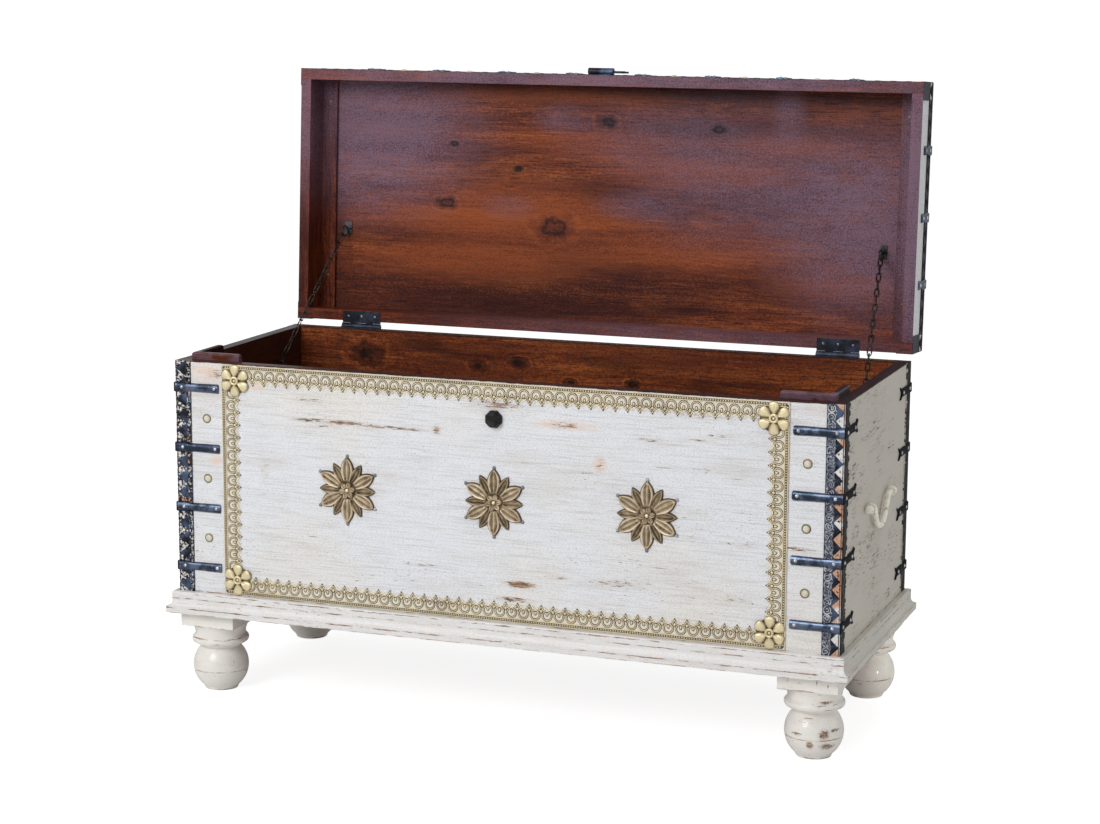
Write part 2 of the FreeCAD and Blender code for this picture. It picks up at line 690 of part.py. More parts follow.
def lock_boss():
    """The faceted stud that the hasp's ring drops over."""
    out = Vector(0, -1, 0)
    rings = []
    for radius_share, high_share in BOSS_SHARES:
        centre = Vector(0, -half_depth, boss_z) + out * (s.boss_high * high_share)
        rings.append(circle_points(centre, Vector(1, 0, 0), Vector(0, 0, 1),
                                   s.boss_radius * radius_share, 8))
    feature("hasp_boss", solid_between(rings))


def tube(centre, along, long, outer, bore):
    """A straight tube, or a rod where the bore is zero."""
    body = Part.makeCylinder(outer, long, centre - along * (long / 2), along)
    if bore == 0:
        return body
    return body.cut(Part.makeCylinder(bore, long * 2, centre - along * long, along))


def hinge_leaf(side, low, places):
    """One leaf of a butt hinge with its share of the five knuckles."""
    fifth = s.hinge_long / 5
    bore = s.hinge_pin + s.hinge_play / 4
    x = side * s.hinge_place
    gap = s.hinge_play / 2
    z = hinge_z - gap - s.hinge_thick if low else hinge_z + gap
    y = half_depth - s.hinge_leaf
    leaf = Part.makeBox(s.hinge_long, hinge_y - y, s.hinge_thick, Vector(x - s.hinge_long / 2, y, z))
    axis = Vector(1, 0, 0)
    middle = Vector(x, hinge_y, hinge_z)
    room = tube(middle, axis, s.hinge_long * 2, s.hinge_knuckle + s.hinge_play, 0)
    leaf = leaf.cut(room)
    for place in places:
        knuckle = middle + axis * (place * fifth)
        barrel = tube(knuckle, axis, fifth - s.hinge_play, s.hinge_knuckle, bore)
        reach = hinge_y - half_depth
        web = Part.makeBox(fifth - s.hinge_play, reach, s.hinge_thick,
                           Vector(knuckle.x - (fifth - s.hinge_play) / 2, half_depth, z))
        web = web.cut(tube(middle, axis, s.hinge_long * 2, bore, 0))
        leaf = leaf.fuse(barrel).fuse(web)
    return leaf.removeSplitter()


def hinges():
    """Two butt hinges let into the rim and the lid's back rail."""
    low = [hinge_leaf(side, True, (-2, 0, 2)) for side in (-1, 1)]
    high = [hinge_leaf(side, False, (-1, 1)) for side in (-1, 1)]
    pins = [tube(Vector(side * s.hinge_place, hinge_y, hinge_z), Vector(1, 0, 0), s.hinge_long,
                 s.hinge_pin, 0) for side in (-1, 1)]
    feature("hinge_box_leaves", Part.makeCompound(low))
    feature("hinge_lid_leaves", Part.makeCompound(high), lid_pose)
    feature("hinge_pins", Part.makeCompound(pins))


def lid_boards():
    """A shallow lid: a panel laid over four rails, with a batten inside at each end."""
    front = -half_depth
    board("lid_panel", "sizes.box_length", "sizes.box_depth", "sizes.lid_panel_thick",
          Vector(-half_length, front, lid_under), lid_pose)
    board("lid_front_rail", "sizes.box_length", "sizes.lid_rail", "sizes.lid_rail_high",
          Vector(-half_length, front, lid_bottom), lid_pose)
    mortises = []
    for side in (-1, 1):
        corner = Vector(side * s.hinge_place - s.hinge_long / 2, half_depth - s.hinge_leaf,
                        hinge_z + s.hinge_play / 2 - s.hinge_thick)
        mortises.append(("sizes.hinge_long", "sizes.hinge_leaf * 2",
                         "sizes.hinge_thick * 2", corner))
    cut_board("lid_back_rail", "sizes.box_length", "sizes.lid_rail", "sizes.lid_rail_high",
              Vector(-half_length, half_depth - s.lid_rail, lid_bottom), mortises, lid_pose)
    for label, x in (("lid_left_rail", -half_length), ("lid_right_rail", half_length - s.lid_rail)):
        board(label, "sizes.lid_rail", "sizes.box_depth - 2 * sizes.lid_rail",
              "sizes.lid_rail_high", Vector(x, front + s.lid_rail, lid_bottom), lid_pose)
    battens = []
    for x in (-half_length + s.lid_rail, half_length - s.lid_rail - s.batten_wide):
        battens.append(Part.makeBox(s.batten_wide, s.box_depth - 2 * s.lid_rail, s.batten_thick,
                                    Vector(x, front + s.lid_rail, lid_under - s.batten_thick)))
    feature("lid_battens", Part.makeCompound(battens), lid_pose)


def lid_strips():
    """Metal angles along the top edges of the lid and down its four corners."""
    down = Vector(0, 0, -1)
    strips = []
    thick = s.strip_thick
    for side_y in (-1, 1):
        corner = Vector(-half_length - thick, side_y * half_depth, lid_top)
        strips.append(angle_strip(corner, Vector(0, -side_y, 0), s.edge_in, down, s.edge_down,
                                  Vector(s.box_length + 2 * thick, 0, 0)))
    for side_x in (-1, 1):
        corner = Vector(side_x * half_length, -half_depth + s.edge_in, lid_top)
        inner = Vector(0, s.box_depth - 2 * s.edge_in, 0)
        strips.append(angle_strip(corner, Vector(-side_x, 0, 0), s.edge_in, down, s.edge_down, inner))
        for side_y in (-1, 1):
            foot_of = Vector(side_x * half_length, side_y * half_depth, lid_bottom)
            rise = Vector(0, 0, lid_top - s.edge_down - lid_bottom)
            strips.append(angle_strip(foot_of, Vector(-side_x, 0, 0), s.strip_front,
                                      Vector(0, -side_y, 0), s.strip_side, rise))
    feature("lid_edge_strips", Part.makeCompound(strips), lid_pose)
    return strips


def lid_ironwork():
    """Strips, straps over the front and side edges, nails and studs of the lid."""
    strips = lid_strips()
    down = Vector(0, 0, -1)
    straps = []
    heads = []
    legs = []
    for count in range(4):
        for side in (-1, 1):
            x = side * (count + 0.5) * s.lid_strap_pitch
            legs.append((Vector(x, -half_depth, lid_top), Vector(0, 1, 0), s.lid_strap_in,
                         down, s.lid_strap_down))
    for side in (-1, 1):
        for count in range(3):
            y = half_depth - (count + 1) * s.lid_side_pitch
            legs.append((Vector(side * half_length, y, lid_top), Vector(-side, 0, 0),
                         s.lid_strap_in, down, s.lid_strap_down))
    for leg in legs:
        strap = bent_strap(*leg)
        for strip in strips:
            if strap.BoundBox.intersect(strip.BoundBox):
                strap = strap.cut(strip)
        straps.append(strap)
        heads.extend(strap_nail_heads(*leg))
    feature("lid_straps", Part.makeCompound(straps), lid_pose)
    feature("lid_strap_nails", Part.makeCompound(heads), lid_pose)
    studs = []
    for count in range(3):
        for side in (-1, 1):
            seat = Vector(side * (count + 1) * s.lid_strap_pitch, -half_depth,
                          lid_bottom + s.lid_stud_rise)
            studs.append(dome(seat, Vector(0, -1, 0), s.stud_radius, s.stud_high))
    feature("lid_studs", Part.makeCompound(studs), lid_pose)


def hasp():
    """The hasp: a plate with two knuckles on the lid, a pin with a leaf-shaped tail, and an
    arm with a ring at its end, folded back over the lid."""
    axis = Vector(1, 0, 0)
    middle = Vector(0, hasp_y, hasp_z)
    third = s.hasp_barrel / 3
    bore = s.hasp_pin + s.play / 3
    plate = Part.makeBox(s.hasp_plate_wide, s.hasp_plate_thick, s.hasp_plate_high,
                         Vector(-s.hasp_plate_wide / 2, -half_depth - s.hasp_plate_thick,
                                hasp_z - s.hasp_axis_rise / 2))
    for side in (-1, 1):
        at = middle + axis * (side * third)
        knuckle = tube(at, axis, third - s.play, s.hasp_knuckle, bore)
        half = (third - s.play) / 2
        web = Part.makeBox(2 * half, s.hasp_axis_off, s.hasp_pin,
                           Vector(at.x - half, hasp_y, hasp_z - s.hasp_pin / 2))
        web = web.cut(tube(middle, axis, s.hasp_barrel * 2, bore, 0))
        plate = plate.fuse(knuckle).fuse(web)
    centre_room = tube(middle, axis, third + s.play, s.hasp_knuckle + s.play, 0)
    feature("hasp_plate", plate.cut(centre_room).removeSplitter(), lid_pose)

    pin = tube(middle, axis, s.hasp_barrel, s.hasp_pin, 0)
    tail_start = s.hasp_barrel / 2
    half = s.hasp_tail_wide / 2
    reach = s.hasp_pin_tail
    leaf_shares = ((0.0, 0.55), (0.35, 1.0), (0.7, 0.8), (1.0, 0.15))
    upper = [Vector(tail_start + reach * a, hasp_y - s.hasp_pin / 2, hasp_z + half * b)
             for a, b in leaf_shares]
    lower = [Vector(tail_start + reach * a, hasp_y - s.hasp_pin / 2, hasp_z - half * b)
             for a, b in reversed(leaf_shares)]
    pin = pin.fuse(prism(upper + lower, Vector(0, s.hasp_pin, 0)))
    feature("hasp_pin", pin, lid_pose)

    flat = s.hasp_arm_thick / 2
    knuckle = tube(middle, axis, third - s.play, s.hasp_knuckle, bore)
    arm = Part.makeBox(s.hasp_arm_wide - s.play, s.hasp_arm_thick, hasp_reach - s.hasp_hole,
                       Vector(-(s.hasp_arm_wide - s.play) / 2, hasp_y - flat, hasp_z))
    arm = arm.cut(tube(middle, axis, s.hasp_barrel * 2, bore, 0))
    ring = tube(Vector(0, hasp_y, hasp_z + hasp_reach), Vector(0, 1, 0), s.hasp_arm_thick,
                s.hasp_ring, 0)
    arm = arm.fuse(ring).cut(tube(Vector(0, hasp_y, hasp_z + hasp_reach), Vector(0, 1, 0),
                                  s.hasp_arm_thick * 2, s.hasp_hole, 0))
    feature("hasp_arm", arm.fuse(knuckle).removeSplitter(), lid_pose)


def bail_path(x):
    """Centre line of a drop handle: straight through both eyes, a bend, a slanting side, and
    a round belly that meets both sides smoothly."""
    top = s.handle_rise
    low = top - s.handle_drop
    bend = s.handle_bend
    end = s.handle_half
    start = end - s.handle_straight
    lean = math.radians(HANDLE_LEAN)
    sine = math.sin(lean)
    cosine = math.cos(lean)
    side_y = start - bend * sine
    side_z = top - bend * (1 - cosine)
    slope = cosine / sine
    belly = (side_y - (side_z - low) * slope) / (sine - (1 - cosine) * slope)
    half = lean / 2

    def point(y, z):
        return Vector(x, y, z)

    def side(sign):
        bend_mid = point(sign * (start - bend * math.sin(half)), top - bend * (1 - math.cos(half)))
        line_end = point(sign * belly * sine, low + belly * (1 - cosine))
        return (
            Part.makeLine(point(sign * end, top), point(sign * start, top)),
            Part.Arc(point(sign * start, top), bend_mid, point(sign * side_y, side_z)).toShape(),
            Part.makeLine(point(sign * side_y, side_z), line_end),
        )

    belly_end = point(-belly * sine, low + belly * (1 - cosine))
    other_end = point(belly * sine, low + belly * (1 - cosine))
    bow = Part.Arc(belly_end, point(0, low), other_end).toShape()
    return Part.Wire(list(side(-1)) + [bow] + list(reversed(side(1))))


def handles():
    """Drop handles with ball ends, hung in an eye at each end."""
    along = Vector(0, 1, 0)
    for label, side in (("handle_left", -1), ("handle_right", 1)):
        x = side * (half_length + s.handle_off)
        path = bail_path(x)
        start = Vector(x, -s.handle_half, s.handle_rise)
        section = Part.Wire([Part.Circle(start, along, s.handle_rod).toShape()])
        rod = path.makePipeShell([section], True, False)
        for end in (-1, 1):
            ball = Vector(x, end * s.handle_half, s.handle_rise)
            rod = rod.fuse(Part.makeSphere(s.handle_ball, ball))
        feature(label, rod)


def ring_eye(centre, along, toward, reach, radius, wire, sides=6, steps=12):
    """An eye of wire whose hole runs along a vector, with a stub towards its board."""
    second = along.cross(toward)
    bend = flat_circle(radius, steps)
    loop = wire_loop(circle_points(centre, toward, second, bend, steps), along, wire, sides)
    start = centre + toward * (radius - wire * 0.2)
    stub = [
        start + along * wire * a + second * wire * b
        for a, b in ((-1, -1), (1, -1), (1, 1), (-1, 1))
    ]
    long = reach - radius + wire * 0.2
    if long <= 0:
        return loop
    return loop.fuse(prism(stub, toward * long))


def handle_eyes():
    """Two eyes for each handle, on the outer faces of the side boards."""
    eyes = []
    radius = s.handle_rod + s.eye_play + s.eye_wire
    y = s.handle_half - s.handle_straight / 2
    for side in (-1, 1):
        for end in (-1, 1):
            centre = Vector(side * (half_length + s.handle_off), end * y, s.handle_rise)
            eyes.append(ring_eye(centre, Vector(0, 1, 0), Vector(-side, 0, 0), s.handle_off,
                                 radius, s.eye_wire, 6, 12))
    feature("handle_eyes", Part.makeCompound(eyes))


def chain_anchor(side):
    """The two points, on the wires of the box's eye and the lid's eye, that a chain pulls on."""
    back = s.chain_left_back if side < 0 else s.chain_right_back
    low = Vector(side * (half_length - s.board_thick - s.chain_box_inset), back,
                 rim - s.chain_box_drop)
    lid_y = half_depth - s.chain_lid_forward
    lid_z = lid_under - s.chain_eye_reach
    y, z = about_hinge(lid_y, lid_z, -LID_OPEN)
    high = Vector(side * (half_length - s.chain_lid_inset), y, z)
    return low, high


def chain_fittings():
    """Eyes on the side boards, and plates with eyes under the lid's panel."""
    low_eyes = []
    plates = []
    for side in (-1, 1):
        low, high = chain_anchor(side)
        down = Vector(0, 0, -1)
        centre = low + down * s.chain_eye
        eye = ring_eye(centre, Vector(0, 1, 0), Vector(side, 0, 0), s.chain_box_inset,
                       s.chain_eye, s.chain_eye_wire, 6, 10)
        x = half_length - s.board_thick if side > 0 else -half_length
        wall = Part.makeBox(s.board_thick, s.box_depth, s.case_height,
                            Vector(x, -half_depth, case_bottom))
        low_eyes.append(eye.cut(wall))
        y = half_depth - s.chain_lid_forward
        x = side * (half_length - s.chain_lid_inset)
        plate = Part.makeBox(s.plate_wide, s.plate_long, s.plate_thick,
                             Vector(x - s.plate_wide / 2, y - s.plate_long / 2, lid_under - s.plate_thick))
        centre = Vector(x, y, lid_under - s.chain_eye_reach + s.chain_eye)
        eye = ring_eye(centre, Vector(0, 1, 0), Vector(0, 0, 1), s.chain_eye_reach - s.chain_eye,
                       s.chain_eye, s.chain_eye_wire, 6, 10)
        room = Part.makeBox(s.box_length, s.box_depth, s.lid_panel_thick,
                            Vector(-half_length, -half_depth, lid_under))
        plates.append(plate.fuse(eye).cut(room))
    feature("chain_box_eyes", Part.makeCompound(low_eyes))
    feature("lid_chain_plates", Part.makeCompound(plates), lid_pose)


# Half of one link's bent wire from its straight side to its tip: along and across, as shares
LINK_SHARES = ((-0.9, 1.0), (0.0, 0.5), (0.0, -0.5), (-0.9, -1.0))
RING_STEPS = 12


def link(centre, along, flat, inner, wide):
    """One chain link: an oblong loop of wire. flat is the normal of its plane."""
    across = flat.cross(along)
    half = wide / 2 - s.link_wire
    tip = inner / 2 + s.link_wire
    path = []
    for end in (1, -1):
        for back, out in LINK_SHARES:
            path.append(centre + along * (end * (tip + back * half)) + across * (end * out * half))
    return wire_loop(path, flat, s.link_wire, 6)


def chain_length(start, end, links, ring):
    """Links laid from a pivot wire to an end point; each is a quarter turn from the last.
    A length with a ring starts with it, and its links hang on the ring."""
    pieces = []
    along = end - start
    total = along.Length
    along.normalize()
    side_way = Vector(1, 0, 0)
    flat = (side_way - along * side_way.dot(along)).normalize()
    other = along.cross(flat)
    inside = -(s.chain_eye_wire + s.hook_play)
    flats = (flat, other)
    if ring:
        middle = inside - s.chain_ring_wire + s.chain_ring
        bend = flat_circle(s.chain_ring, RING_STEPS)
        loop = circle_points(start + along * middle, along, other, bend, RING_STEPS)
        pieces.append(wire_loop(loop, flat, s.chain_ring_wire, 6))
        inside = middle + s.chain_ring - s.chain_ring_wire - s.link_play
        flats = (other, flat)
    run = total - inside - 2 * s.link_wire
    inner = (run + (links - 1) * s.link_play) / links
    for index in range(links):
        centre = inside + inner / 2 + index * (inner - s.link_play)
        pieces.append(link(start + along * centre, along, flats[index % 2], inner, s.link_wide))
    return pieces


def chains():
    """Each stay chain is two lengths: one hangs on the box's eye, one on the lid's eye."""
    rows = ((-1, "chain_left", LEFT_LINKS, LEFT_SPLIT_SHARE),
            (1, "chain_right", RIGHT_LINKS, RIGHT_SPLIT_SHARE))
    for side, label, counts, share in rows:
        low, high = chain_anchor(side)
        middle = low + (high - low) * share
        along = (high - low).normalize()
        gap = along * (s.chain_middle_gap / 2)
        lower = chain_length(low, middle - gap, counts[0], False)
        upper = chain_length(high, middle + gap, counts[1], True)
        feature(label + "_lower", Part.makeCompound(lower))
        feature(label + "_upper", Part.makeCompound(upper))


def write_parts():
    """Checks every object, then writes one STEP file for each sub-part."""
    doc.recompute()
    for item in doc.Objects:
        if "Invalid" in item.State or "Error" in item.State:
            raise RuntimeError("%s failed: %s" % (item.Label, item.State))
    for item in parts:
        if item.Shape.isNull() or not item.Shape.isValid():
            raise RuntimeError("%s has no valid shape" % item.Label)
    os.makedirs("parts", exist_ok=True)
    for item in parts:
        item.Shape.exportStep("parts/%s.step" % item.Label)
    print("sub-parts", len(parts))


case_boards()
plinth()
feet()
cleats()
corner_ironwork()
front_studs()
border()
rosettes()
flowers()
lock_boss()
hinges()
lid_boards()
lid_ironwork()
hasp()
handles()
handle_eyes()
chain_fittings()
chains()
write_parts()
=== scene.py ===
"""An old painted dowry chest with its lid open, on a pale floor in soft light."""

from math import cos, exp, pi, radians, sin

import bmesh
import bpy
from mathutils import Matrix, Vector


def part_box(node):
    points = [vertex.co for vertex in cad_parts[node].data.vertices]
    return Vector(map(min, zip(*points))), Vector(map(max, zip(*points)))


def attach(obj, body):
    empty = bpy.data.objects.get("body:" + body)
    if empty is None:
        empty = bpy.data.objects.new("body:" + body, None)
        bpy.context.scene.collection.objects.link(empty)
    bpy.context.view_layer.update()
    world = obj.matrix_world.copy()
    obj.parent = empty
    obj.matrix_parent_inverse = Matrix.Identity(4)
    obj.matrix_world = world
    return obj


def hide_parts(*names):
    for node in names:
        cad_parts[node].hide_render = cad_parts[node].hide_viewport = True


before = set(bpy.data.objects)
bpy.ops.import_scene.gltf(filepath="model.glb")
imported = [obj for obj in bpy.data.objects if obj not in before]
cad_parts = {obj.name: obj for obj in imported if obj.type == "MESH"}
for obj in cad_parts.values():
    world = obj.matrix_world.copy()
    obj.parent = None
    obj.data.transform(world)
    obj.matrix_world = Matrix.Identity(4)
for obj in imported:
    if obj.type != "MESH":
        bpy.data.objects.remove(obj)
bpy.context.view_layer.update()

# Sizes of the chest in millimetres: x to the right, y to the back, z up from the floor
HALF_LONG = 575.0
HALF_DEEP = 228.0
RIM = 575.0
PLINTH_TOP = 178.0
LID_BOTTOM = 576.5
LID_UNDER = 637.5
LID_TOP = 649.5
HINGE_Y = 237.5
HINGE_Z = 575.75
LID_TURN = -radians(93.5)
STRAP_HALF = 8.0
STRAP_FIRST = 45.0
STRAP_PITCH = 102.5

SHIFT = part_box("front_board")[0].y + HALF_DEEP / 1000
CHEST = Matrix.Translation((0, SHIFT, 0)) @ Matrix.Scale(0.001, 4)
HINGE = Matrix.Translation((0, HINGE_Y, HINGE_Z))
LID = CHEST @ HINGE @ Matrix.Rotation(LID_TURN, 4, "X") @ HINGE.inverted()

# Directions
RIGHT = Vector((1, 0, 0))
LEFT = Vector((-1, 0, 0))
BACK = Vector((0, 1, 0))
FRONT = Vector((0, -1, 0))
UP = Vector((0, 0, 1))
DOWN = Vector((0, 0, -1))
SQUARE = ((-1, -1), (1, -1), (1, 1), (-1, 1))


# Materials

def reckons(kind, backwards=False):
    """A method that joins a value and another in a math node."""
    def method(self, *others):
        return self.tree.math(kind, *((*others, self) if backwards else (self, *others)))
    return method


class Value:
    """A socket of a node tree, which can be reckoned with."""

    def __init__(self, tree, socket):
        self.tree = tree
        self.socket = socket

    __add__ = reckons("ADD")
    __radd__ = reckons("ADD", True)
    __sub__ = reckons("SUBTRACT")
    __rsub__ = reckons("SUBTRACT", True)
    __mul__ = reckons("MULTIPLY")
    __truediv__ = reckons("DIVIDE")
    __abs__ = reckons("ABSOLUTE")
    most = reckons("MAXIMUM")

    def step(self, low, high):
        """0 below low, 1 above high and smooth between; high may be the lower one."""
        start, end = (0, 1) if low <= high else (1, 0)
        inputs = {"Value": self, "From Min": min(low, high), "From Max": max(low, high),
                  "To Min": start, "To Max": end}
        node = self.tree.node("MapRange", inputs, interpolation_type="SMOOTHSTEP")
        return Value(self.tree, node.outputs["Result"])


class Nodes:
    """Short calls for the node tree of a material or a world."""

    def __init__(self, owner):
        owner.use_nodes = True
        self.nodes = owner.node_tree.nodes
        self.links = owner.node_tree.links

    def join(self, socket, value):
        """Links a socket to another, or sets its value."""
        value = getattr(value, "socket", value)
        if isinstance(value, bpy.types.NodeSocket):
            self.links.new(value, socket)
        elif value is not None:
            socket.default_value = (*value, 1) if socket.type == "RGBA" else value

    def node(self, kind, inputs=None, **settings):
        """A node with its settings, and what is joined to its inputs by name or number."""
        node = self.nodes.new("ShaderNode" + kind)
        for name, value in settings.items():
            setattr(node, name, value)
        for name, value in (inputs or {}).items():
            self.join(node.inputs[name], value)
        return node


class Tree(Nodes):
    """One material. Noise is taken at its place and grain runs along its axis."""

    def __init__(self, name, axis=0):
        self.material = bpy.data.materials.new(name)
        super().__init__(self.material)
        self.shader = self.nodes["Principled BSDF"]
        self.axis = axis
        self.place = Value(self, self.node("TexCoord").outputs["Object"])

    def math(self, kind, *values):
        return Value(self, self.node("Math", dict(enumerate(values)), operation=kind).outputs[0])

    def vector(self, kind, *values):
        node = self.node("VectorMath", dict(enumerate(values)), operation=kind)
        return Value(self, node.outputs["Value" if kind == "LENGTH" else "Vector"])

    def parts(self):
        return [Value(self, part) for part in self.node("SeparateXYZ", {0: self.place}).outputs]

    def away(self, centre, scale):
        """How far its place lies from a centre, with a scale on each axis."""
        way = self.vector("SUBTRACT", self.place, centre)
        return self.vector("LENGTH", self.vector("MULTIPLY", way, scale))

    def noise(self, scale, detail=3, rough=0.55, warp=0):
        """Noise with one scale or its own on each axis, in features a metre."""
        scale = scale if isinstance(scale, tuple) else (scale,) * 3
        inputs = {"Vector": self.vector("MULTIPLY", self.place, scale), "Scale": 1,
                  "Detail": detail, "Roughness": rough, "Distortion": warp}
        return Value(self, self.node("TexNoise", inputs).outputs["Fac"])

    def drawn_out(self, along, across):
        """A number for each axis: one along the grain and another across it."""
        return tuple(along if axis == self.axis else across for axis in range(3))

    def grain(self, along, across, *look):
        """Noise with a scale along the grain and another across it."""
        return self.noise(self.drawn_out(along, across), *look)

    def ramp(self, value, *stops):
        node = self.node("ValToRGB", {"Fac": value})
        points = node.color_ramp.elements
        for _ in stops[len(points):]:
            points.new(0.5)
        for point, (place, colour) in zip(points, stops):
            point.position = place
            point.color = (*colour, 1)
        return Value(self, node.outputs["Color"])

    def mix(self, share, first, second):
        """The first colour where share is 0 and the second where it is 1."""
        node = self.node("Mix", {"Factor": share}, data_type="RGBA")
        colours = [socket for socket in node.inputs if socket.type == "RGBA"]
        for socket, value in zip(colours, (first, second)):
            self.join(socket, value)
        return Value(self, [socket for socket in node.outputs if socket.type == "RGBA"][0])

    def layers(self, colour, *layers):
        """A colour under layers of tint: noise, where a layer starts and is full, share, tint."""
        for noise, low, high, share, tint in layers:
            colour = self.mix(noise.step(low, high) * share, colour, tint)
        return colour

    def shine(self, specular=None, coat=None, coat_rough=None):
        """Sets the shader's mirror and its clear coat."""
        for name, value in (("Specular IOR Level", specular), ("Coat Weight", coat),
                            ("Coat Roughness", coat_rough)):
            self.join(self.shader.inputs[name], value)

    def finish(self, colour, rough, height, high, strength, metal=None):
        """Joins colour, roughness, metal and bump to the shader."""
        bump = self.node("Bump", {"Strength": strength, "Distance": high, "Height": height})
        for name, value in (("Base Color", colour), ("Roughness", rough), ("Metallic", metal),
                            ("Normal", bump.outputs["Normal"])):
            self.join(self.shader.inputs[name], value)
        return self.material


def metres(x, y, z):
    """A place on the chest in the frame's metres."""
    return tuple(CHEST @ Vector((x, y, z)))


# Colours
PAINT_COOL = (0.785, 0.805, 0.85)
PAINT_WARM = (0.8, 0.78, 0.75)
# The paint of the sides is warmer and darker than the front's: partly its own tone, partly painted
# shade
PAINT_SIDE_SHADED = (0.6, 0.565, 0.5)
PAINT_SHADE = (0.46, 0.42, 0.37)
PAINT_SMUDGE = (0.5, 0.4, 0.3)
PAINT_PEACH = (0.8, 0.6, 0.48)
PAINT_CREAM = (0.86, 0.83, 0.78)
PAINT_PLINTH = (0.8, 0.785, 0.775)
# The plinth's ends: the plinth paint darker and warmer, as painted shade
PAINT_END_SHADED = (0.61, 0.59, 0.54)
CHIP_ORANGE = (0.46, 0.25, 0.145)
CHIP_BROWN = (0.155, 0.082, 0.045)
CHIP_TAN = (0.46, 0.33, 0.22)
CHIP_DARK = (0.045, 0.028, 0.02)
STAIN_KNOT = (0.01, 0.0045, 0.0035)
STAIN_DEEP = (0.03, 0.0065, 0.0035)
STAIN_MIDDLE = (0.105, 0.023, 0.0095)
STAIN_RED = (0.21, 0.047, 0.014)
STAIN_LIGHT = (0.41, 0.115, 0.028)
# Painted sheen: a cool reflection on the varnish, laid into the colour
STAIN_SHEEN = (0.215, 0.14, 0.2)
STAIN_GLOW = (0.33, 0.076, 0.019)
STAIN_RIM = (0.012, 0.0055, 0.006)
STRAP_DARK = (0.03, 0.04, 0.065)
STRAP_BLUE = (0.125, 0.16, 0.235)
STRAP_SCRATCH = (0.3, 0.34, 0.42)
IRON_BLACK = (0.011, 0.01, 0.011)
IRON_BLUE = (0.075, 0.11, 0.19)
IRON_BROWN = (0.055, 0.038, 0.028)
BRASS_DARK = (0.08, 0.055, 0.03)
BRASS_MIDDLE = (0.34, 0.265, 0.155)
BRASS_PATINA = (0.36, 0.265, 0.175)
BRASS_WASH = (0.74, 0.69, 0.59)
CREAM = (0.68, 0.63, 0.5)
CREAM_DARK = (0.3, 0.24, 0.14)
HANDLE_CREAM = (0.96, 0.93, 0.8)
GROUND_WHITE = (0.74, 0.71, 0.69)
GROUND_PEACH = (0.58, 0.33, 0.21)
GROUND_NAVY = (0.035, 0.05, 0.085)
# Pale specks on the navy: painted glints
GROUND_GLINT = (0.52, 0.53, 0.56)
FLANK_BLACK = (0.006, 0.006, 0.006)
FLANK_BROWN = (0.026, 0.018, 0.014)

# Worn places on the front: x, z, half length, half height in millimetres, and depth of wear
FRONT_WEAR = (
    (-325, 489, 42, 5, 1), (-262, 489, 58, 5, 1), (-200, 487, 52, 3.4, 1), (-150, 486, 44, 3, 0.9),
    (-300, 481, 34, 2.5, 0.7), (-101, 489, 9, 10, 1), (10, 537, 46, 9, 0.8), (121, 511, 34, 8, 0.8),
    (180, 452, 12, 13, 0.5), (45, 244, 30, 7, 1.7), (38, 218, 36, 5, 1.3), (95, 556, 38, 4, 0.5),
    (-326, 523, 40, 6, 0.4), (-411, 398, 10, 24, 0.35), (263, 498, 30, 5, 0.4),
    (-130, 262, 42, 4, 0.4), (346, 456, 40, 6, 0.3), (414, 253, 28, 4, 0.4), (210, 261, 60, 8, 0.6),
    (113, 262, 26, 5, 0.5), (505, 343, 32, 5, 0.9), (411, 342, 34, 3, 0.6),
    (-482, 352, 24, 14, 0.5), (-500, 556, 22, 12, 0.5), (352, 542, 60, 4, 0.35),
    (378, 512, 30, 3, 0.5), (330, 503, 40, 3, 0.5),
)
# Worn places on the right side, y and z, stretched along it, and on a foot, x and z
SIDE_WEAR = (
    (-185, 495, 22, 14, 0.8), (2, 478, 18, 12, 0.6), (6, 444, 14, 9, 0.8), (-105, 448, 16, 10, 0.8),
    (-165, 452, 16, 8, 0.8), (-151, 392, 14, 14, 0.6), (2, 280, 28, 18, 0.9),
    (-6, 245, 10, 12, 0.8), (101, 200, 20, 10, 0.8), (-137, 357, 22, 16, 0.6),
    (98, 452, 24, 14, 0.6), (120, 300, 30, 20, 0.4), (-182, 462, 40, 12, 1), (-160, 420, 50, 9, 1),
    (-60, 500, 60, 7, 0.8), (-40, 330, 50, 8, 0.7),
)
FOOT_WEAR = (
    (552, 46, 9, 9, 1.8), (531, 29, 7, 7.5, 1.8), (565, 51, 6, 3, 1.6), (509, 45, 9, 3.2, 1.2),
    (552, 97, 11, 2.8, 1.5), (555, 26, 11, 7, 1.2), (494, 135, 1.6, 7, 0.9), (513, 129, 6, 2, 0.7),
    (541, 134, 1.6, 9, 1), (559, 128, 2, 5, 0.8),
)
SIDE_STRETCH = 1.3
# Heights of worn edges, and how far paint has rubbed off them
PLINTH_EDGES = (141.5, 150.5, 166, 175.5)
FOOT_EDGES = (2, 36, 86, 93, 116, 141)
EDGE_RUB = 0.34
# Where old varnish shows peach through the paint of the front: x, z, half length, half height
FRONT_PEACH = (
    (-515, 558, 34, 16), (-503, 409, 14, 12), (-424, 539, 16, 8), (124, 512, 56, 9),
    (180, 452, 15, 12),
)
# Knots inside the lid, in closed places x and y, and on the inside of the back board, x and z
LID_KNOTS = (
    (-100, 45, 30), (-3, -146, 17), (-311, 9, 16), (206, -138, 13), (-296, -100, 7), (-170, -58, 8),
)
BACK_KNOTS = ((-422, 532, 27), (-204, 523, 15), (-127, 532, 14), (-27, 503, 11), (87, 507, 10))
